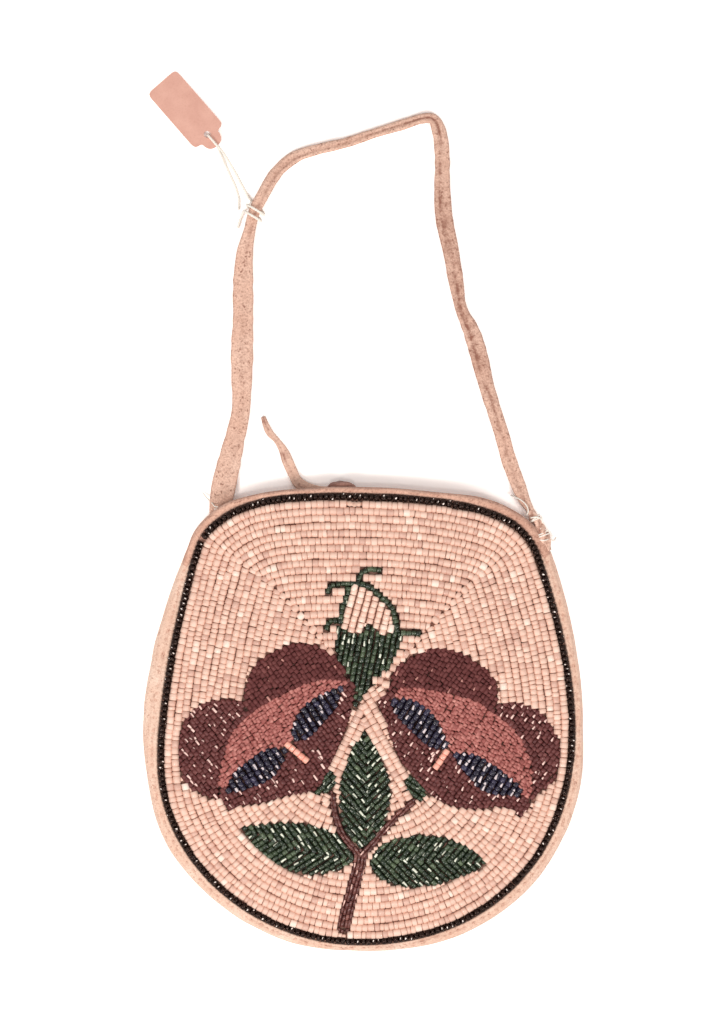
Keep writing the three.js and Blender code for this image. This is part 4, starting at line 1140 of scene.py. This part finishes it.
def ripple(points):
    """The back's rise off the floor, which ends at its edge."""
    x, y = points.T
    wave = BACK_WAVE * (0.5 + 0.5 * np.sin(x * 0.11 + 2) * np.sin(y * 0.09 + x * 0.05))
    return wave * np.clip(1.2 - np.hypot(x, y) / 50, 0, 1)


def panels():
    indices = np.arange(0, len(border), 8)
    mouth = ((bearing[indices] > SEAM_RIGHT) & (bearing[indices] < MOUTH_LEFT)).astype(float)
    share = np.convolve(np.r_[mouth[-5:], mouth, mouth[:5]], np.ones(11) / 11, "valid")
    sewn = margins[indices] - FRONT_INSET
    away = np.where(mouth > 0.5, MOUTH_REACH, sewn) * share + sewn * (1 - share)
    panel(
        "front", stand_off(indices, away[:, None])[:, 0],
        lambda points: surface(*points.T) - 0.02, lambda points: surface(*points.T) - HIDE,
        SHADED_UNDERLAY, dark_below, rings=60,
    )
    panel(
        "back", stand_off(indices, (margins[indices] - BACK_INSET)[:, None])[:, 0],
        lambda points: HIDE + ripple(points), lambda points: 0.02 + ripple(points),
        SUEDE, lambda points: np.full(len(points), 0.1), rings=34,
    )


# Strap, thong and string. A stop is x, y, the height of the underside, width and thickness.

FLAT = 1.3  # thickness where the strap lies flat, and where it is folded lengthwise
FOLDED = 2.2
STRIP_SIDES = 28
STRAP_ROUTE = [
    (-43.2, 57.5, 1.65, 5.2, 1), (-44, 62, 1.7, 6, 1), (-43.5, 66, 1.65, 6.8, 1.1),
    (-42.6, 71, 0.95, 7.2, FLAT), (-39.8, 83.1, 0.1, 6.2, FLAT),
    (-37.7, 92.7, 0.05, 5.6, FLAT), (-37.4, 102.3, 0.05, 6, FLAT),
    (-37.3, 111.9, 0.05, 6.3, FLAT), (-37, 121.5, 0.05, 6.1, FLAT), (-37, 131.1, 0.15, 5.9, FLAT),
    (-36.4, 140.7, 0.35, 4.9, 1.7), (-35.1, 146.4, 0.9, 3.5, FOLDED), (-33.7, 152.1, 1.4, 3.3, FOLDED),
    (-31.3, 156.9, 1.2, 3.6, FOLDED), (-26.9, 164.2, 0.5, 3.8, FOLDED), (-21.2, 168.9, 0.1, 3.6, FOLDED),
    (-14.2, 171.2, 0.05, 3.3, FOLDED), (-5.8, 173.2, 0.05, 3.1, FOLDED), (2.9, 176.1, 0.05, 2.9, FOLDED),
    (11.5, 178.7, 0.05, 3, FOLDED), (16.6, 180.3, 0.1, 3.2, FOLDED), (19.9, 180.2, 0.2, 3.3, FOLDED),
    (21.8, 176.4, 0.3, 4.5, 1.8), (22.7, 169.2, 0.25, 4.6, FLAT), (22.7, 159.6, 0.05, 4.8, FLAT),
    (23.3, 150.3, 0.05, 5.1, FLAT), (25.3, 140.7, 0.05, 5, FLAT), (26.9, 131.1, 0.05, 4.2, 1.5),
    (28.4, 123.3, 0.1, 3.6, 2), (31.4, 116.7, 0.1, 5, 1.6), (33.5, 110.1, 0.1, 5.3, 1.5),
    (35.9, 100.5, 0.05, 4.6, 1.8), (38.3, 92.7, 0.05, 4.3, 1.9), (40.7, 85.2, 0.05, 4.3, 1.6),
    (42.6, 78.3, 0.1, 4.5, FLAT), (45.2, 71.2, 0.55, 4.4, FLAT), (47.2, 66.2, 1.25, 3.4, 1.5),
    (49.2, 62.6, 2, 2.3, 1.8),
]
THONG = 1.2
THONG_ROUTE = [
    (-11.3, 69, 4.42, 2.2, THONG), (-13.4, 68.8, 3.59, 2.7, THONG), (-16.6, 69.2, 2.18, 3.2, THONG),
    (-20.4, 71.2, 0.6, 3.3, THONG), (-22.3, 74.6, 0.05, 3.3, THONG), (-23.7, 77.8, 0.05, 3.3, THONG),
    (-25, 81, 0.05, 2.6, THONG), (-27, 84, 0.1, 1.8, THONG), (-28.9, 86, 0.05, 2.2, THONG),
    (-30.2, 88.6, 0.05, 1.9, THONG), (-31, 91, 0.05, 1.4, THONG),
]
# Soil up the strap's right side, and up the thong soil towards its tip and painted shade where it twists:
# heights on the photograph, and the darkening there
STRAP_SOIL = ((80, 110, 165, 185), (0.05, 0.34, 0.3, 0.05))
THONG_SOIL_AND_SHADE = ((72, 76, 79, 82, 86, 90), (0.2, 0.15, 0.5, 0.2, 0.3, 0.8))


def hide_strip(name, route, material, crease_at, soils_and_shades, **more):
    """A strip of hide: rounded where it lies flat, and creased along where it is folded."""
    stops = np.array([(x, y, under + thick / 2, width, thick) for x, y, under, width, thick in route])
    line = smooth_curve(stops, 0.5)
    count = len(line)
    path = line[:, :3]
    width = line[:, 3] * (1 + wander(count, 0.03, 12) + wander(count, 0.02, 4))
    thick = line[:, 4] * (1 + wander(count, 0.03, 10))
    folded = np.clip((line[:, 4] - FLAT) / (FOLDED - FLAT), 0, 1)
    cos, sin = np.cos(turns(STRIP_SIDES)), np.sin(turns(STRIP_SIDES))
    across = np.sign(cos) * np.abs(cos) ** 0.7 / 2
    up = np.sign(sin) * np.abs(sin) ** 0.75 / 2
    place = crease_at + wander(count, 0.05, 40)
    crease = bell(across - place[:, None], 0.09) * (sin > 0)
    curl = 0.1 * (2 * across) ** 2 * (1 - folded)[:, None]
    buckle = wander(count, 0.05, 7)[:, None] * across * 2
    height = up * thick[:, None] + curl + buckle * (sin > 0) - crease * (0.12 + 0.5 * folded)[:, None]
    # Soil along the strip, with painted shade where the thong twists, and painted shade in the crease, deeper
    # where the strip is folded. It is darker along both edges.
    soiled_and_shaded = soils_and_shades(path) * (0.8 + wander(count, 0.12, 18))
    soil = 0.75 * crease * (0.3 + 0.7 * folded + soiled_and_shaded)[:, None] + soiled_and_shaded[:, None]
    soil = soil + 0.2 * (np.abs(across) > 0.46)
    return loft(name, [rings_along(path, across * width[:, None], height)], material, soil=soil, **more), path


def strap():
    """The carrying strap, most soiled in the upper part of its right side."""
    def soils_and_shades(path):
        return 0.1 + np.clip((path[:, 0] - 14) / 4, 0, 1) * np.interp(path[:, 1], *STRAP_SOIL)

    hide_strip("shoulder_strap", STRAP_ROUTE, STRAP, -0.06, soils_and_shades, slot="strap_hide", replaces=["strap"])


# Strap's right end: its middle and radius, the turns of thread round it as a share of its length and
# a lean, and the loose threads there and at the left shoulder
LUMP = [
    (49.0, 63.0, 3, 1.0), (49.8, 61.4, 3, 1.35), (50.7, 60.0, 3.05, 1.7), (51.5, 58.4, 3.1, 1.35),
    (52.2, 56.8, 3.1, 1.75), (53.1, 54.6, 3.1, 1.8), (53.9, 52.6, 3, 1.4), (54.5, 50.8, 3, 0.9),
]
END_THREAD = 0.2
LUMP_SIDES = 24
LASHES = ((0.2, 0.3), (0.27, -0.35), (0.58, 0.2), (0.66, -0.15))
END_THREADS = [
    [(43.2, 67.4, 1.2), (44.5, 66.9, 2.4), (46.6, 65.7, 3.2), (48.1, 63.9, 4.1), (48.3, 62.2, 4.3)]
    + [(47.5, 61.3, 3.6)],
    [(49.0, 60.6, 4.6), (50.8, 60.9, 5.2), (52.2, 60.2, 4.7), (52.6, 58.9, 3.6), (52, 57.2, 4.6)],
    [(51.2, 54.2, 4.4), (53.0, 53.9, 5.0), (54.8, 54.3, 3.8), (56.2, 53.9, 2.4), (56.9, 54.9, 1.2)],
    [(53.2, 57.2, 4.7), (54.6, 56.6, 4.2), (55.3, 55.2, 2.9)],
]
LEFT_TACK = [
    [(-49.2, 68.3, 0.6), (-47.9, 66.6, 1.4), (-46.4, 65.2, 2.6), (-45.4, 64.1, 4.2), (-44.4, 63.9, 5.6)],
    [(-45.6, 63.2, 5.0), (-44.0, 63.4, 6.2), (-42.3, 63.2, 6.4)],
]


def strap_end():
    """The strap's right end: a twisted lump, bound to the shoulder with white thread."""
    line = smooth_curve(LUMP, 0.3)
    count = len(line)
    path = line[:, :3]
    spin = np.arange(count)[:, None] * 0.13
    angle = turns(LUMP_SIDES)
    fold = 0.16 * np.cos(3 * (angle - spin)) + 0.08 * np.cos(5 * angle + 2 * spin)
    radius = line[:, 3:] * (1 + fold) * (1 + wander(count, 0.05, 6))[:, None]
    # Painted shade in the lump's hollows, where its folds dip in.
    loft("twisted_end", [tube_rings(path, radius, LUMP_SIDES)], STRAP,
         slot="strap_hide", replaces=["strap_end"], soil=0.25 - 2.2 * fold)
    along, side, over = axes(path)
    lashes = []
    for place, lean in LASHES:
        index = int(place * (count - 1))
        reach = line[index, 3] * 1.12
        lashes.append([
            path[index] + (side[index] * math.cos(a) + over[index] * math.sin(a)) * reach
            + along[index] * lean * math.sin(a * 0.5) for a in np.linspace(-0.5, math.pi + 0.5, 9)
        ])
    threads("strap_end_threads", lashes + END_THREADS, END_THREAD, 6, THREAD, slot="strap_hide")


# Thong's knot: its middle and radius. Its stitch: x, y and the height over the front panel.
KNOT = [
    (-11.4, 69.2, 5.3, 0.8), (-9.9, 70.2, 5.5, 1.15), (-7.6, 70.4, 5.6, 1.35), (-5.4, 70.1, 5.5, 1.3),
    (-3.9, 69.2, 5.2, 1.0), (-4.6, 68.2, 4.9, 0.9), (-6.6, 67.9, 4.9, 0.8),
]
KNOT_SIDES = 18
STITCH_SIDES = 12
STITCH = [(-6.3, 65.2, 0.6), (-5.0, 64.9, 1.6), (-3.2, 64.7, 1.7), (-1.5, 64.9, 0.6)]


def tie_knot():
    line = smooth_curve(KNOT, 0.3)
    radius = line[:, 3] * (1 + wander(len(line), 0.06, 5))
    crest = 0.07 * np.cos(np.arange(len(line))[:, None] * 0.2 + turns(KNOT_SIDES) * 2)
    rings = tube_rings(line[:, :3], radius[:, None] * (1 + crest), KNOT_SIDES)
    # Painted shade in the grooves between the knot's crests.
    loft("thong_knot", [rings], SHADED_KNOT, slot="thong_hide", replaces=["tie_knot"], soil=0.3 - 3 * crest)


def tie_stitch():
    """The end of the thong's own stitch, that shows below the black row's raised beads."""
    line = smooth_curve([(x, y, surface(x, y) + rise) for x, y, rise in STITCH], 0.2)
    rings = tube_rings(line, 0.75 + 0.12 * np.sin(np.arange(len(line)) * 0.9), STITCH_SIDES)
    loft("thong_stitch", [rings], THONG_HIDE, slot="thong_hide", replaces=["tie_stitch"],
         soil=np.full(rings.shape[:2], 0.1))


# Tag: the card's place on the floor, and the string's route round the strap and through its hole
TAG_PLACE = (-61.5, 191.4, math.radians(-49))
TAG_TILT = math.radians(3)
TAG_LENGTH = 25.6
TAG_CARD = 0.4
HOLE_RIM = 22.05
STRING_TURN = 0.85
TURN_EASED = STRING_TURN * 0.7
STRING_STEP = 0.16
STRING_LAY = 1.5  # along the string for one turn of its two plies
PLY = 0.26
PLY_APART = 0.15


def on_tag(along, height):
    x, y, turn = TAG_PLACE
    reach = along * math.cos(TAG_TILT)
    return (x + reach * math.cos(turn), y + reach * math.sin(turn), along * math.sin(TAG_TILT) + height)


STRING_ROUTE = [
    (-38.6, 147.6, 0.45), (-37.7, 150.4, 0.8), (-36.7, 152.5, 2.5), (-35.9, 152.1, 3.85), (-34.1, 151, 4.55),
    (-32.3, 149.9, 3.85), (-31.5, 149.5, 2.5), (-32.1, 150.4, 1.1), (-33.7, 152, 0.5), (-35.3, 153.7, 1.1),
    (-35.9, 154.4, 2.5), (-35, 154, 3.85), (-33.2, 152.9, 4.55), (-31.4, 151.8, 3.85), (-30.6, 151.4, 2.5),
    (-31.2, 152.6, 1.1), (-32.8, 154.2, 0.5), (-34.9, 156.2, 0.4), (-37.4, 160.5, 0.4), (-39.8, 165, 1.1),
    on_tag(28.4, 0.9),
    on_tag(TAG_LENGTH, 0.95),
    on_tag(HOLE_RIM, TAG_CARD / 2 + STRING_TURN),
    on_tag(HOLE_RIM - TURN_EASED, TAG_CARD / 2 + TURN_EASED),
    on_tag(HOLE_RIM - STRING_TURN, TAG_CARD / 2),
    on_tag(HOLE_RIM - TURN_EASED, TAG_CARD / 2 - TURN_EASED),
    on_tag(HOLE_RIM, TAG_CARD / 2 - STRING_TURN),
    on_tag(TAG_LENGTH, -0.85),
    (-43.6, 169.6, 0.4), (-41.4, 164.6, 0.37), (-39.3, 160, 0.37), (-38.3, 156.5, 0.37), (-38.3, 153.2, 0.45),
]


def cords():
    """The thong and the tag's string, and the card's material."""
    thong, path = hide_strip(
        "thong", THONG_ROUTE, THONG_HIDE, 0.1, lambda path: np.interp(path[:, 1], *THONG_SOIL_AND_SHADE),
        slot="thong_hide", replaces=["tie_thong"],
    )
    line = smooth_curve(STRING_ROUTE, STRING_STEP)
    _, side, over = axes(line)
    twist = np.arange(len(line))[:, None] * STRING_STEP / STRING_LAY * 2 * math.pi
    apart = (np.cos(twist) * side + np.sin(twist) * over) * PLY_APART
    plies = [tube_rings(line + apart * half, PLY, 6) for half in (1, -1)]
    string = loft("twisted_string", plies, THREAD, slot="string", replaces=["tag_string"])
    tag = frame["nodes"]["tag"]
    tag.data.materials.clear()
    tag.data.materials.append(CARD)


cords()
binding()
mouth_roll()
panels()
strap()
strap_end()
threads("left_tack", LEFT_TACK, FINE_THREAD, 6, THREAD, slot="strap_hide")
tie_knot()
tie_stitch()
beadwork()
border_row()

# Stage and light

FLOOR_SIZE = 3000
FLOOR_SEEN = (1.62, 1.52, 1.47, 1)
FLOOR_LIT = (0.82, 0.80, 0.79, 1)
WORLD_LIGHT = 0.5
LIT_SPOT = Vector((0, 20 * MM, 0))  # where the lamps point


def floor():
    paint = Paint("floor", Roughness=0.9, Specular_IOR_Level=0.1)
    seen = paint.node("ShaderNodeLightPath").outputs["Is Camera Ray"]
    paint.set("Base Color", paint.mix(seen, FLOOR_LIT, FLOOR_SEEN))
    mesh = bpy.data.meshes.new("floor")
    square = [(x * FLOOR_SIZE * MM, y * FLOOR_SIZE * MM, 0) for x, y in ((-1, -1), (1, -1), (1, 1), (-1, 1))]
    mesh.from_pydata(square, [], [(0, 1, 2, 3)])
    mesh.materials.append(paint.material)
    show("floor", mesh)


def lamp(name, place, size, power, colour):
    data = bpy.data.lights.new(name, "AREA")
    data.size = size * MM
    data.energy = power
    data.color = colour
    made = show(name, data)
    made.location = [c * MM for c in place]
    made.rotation_euler = (LIT_SPOT - made.location).to_track_quat("-Z", "Y").to_euler()


def world():
    """White to the camera and in reflections, and plain light elsewhere."""
    made = bpy.data.worlds.new("world")
    bpy.context.scene.world = made
    nodes = Nodes(made)
    back = nodes.tree.nodes["Background"]
    path = nodes.node("ShaderNodeLightPath").outputs
    seen = nodes.work("MAXIMUM", path["Is Camera Ray"], path["Is Glossy Ray"])
    seen = nodes.work("MAXIMUM", seen, path["Is Transmission Ray"])
    nodes.tree.links.new(nodes.between(seen, WORLD_LIGHT, 1.0), back.inputs["Strength"])
    back.inputs["Color"].default_value = (1, 1, 1, 1)


floor()
lamp("lamp_left", (-620, -480, 950), 330, 7.2, (1, 0.98, 0.96))
lamp("lamp_right", (640, -420, 900), 330, 5.0, (1, 0.98, 0.96))
lamp("lamp_over", (-60, -180, 1450), 110, 2.2, (1, 0.99, 0.98))
world()
bpy.context.scene.view_settings.view_transform = "Standard"
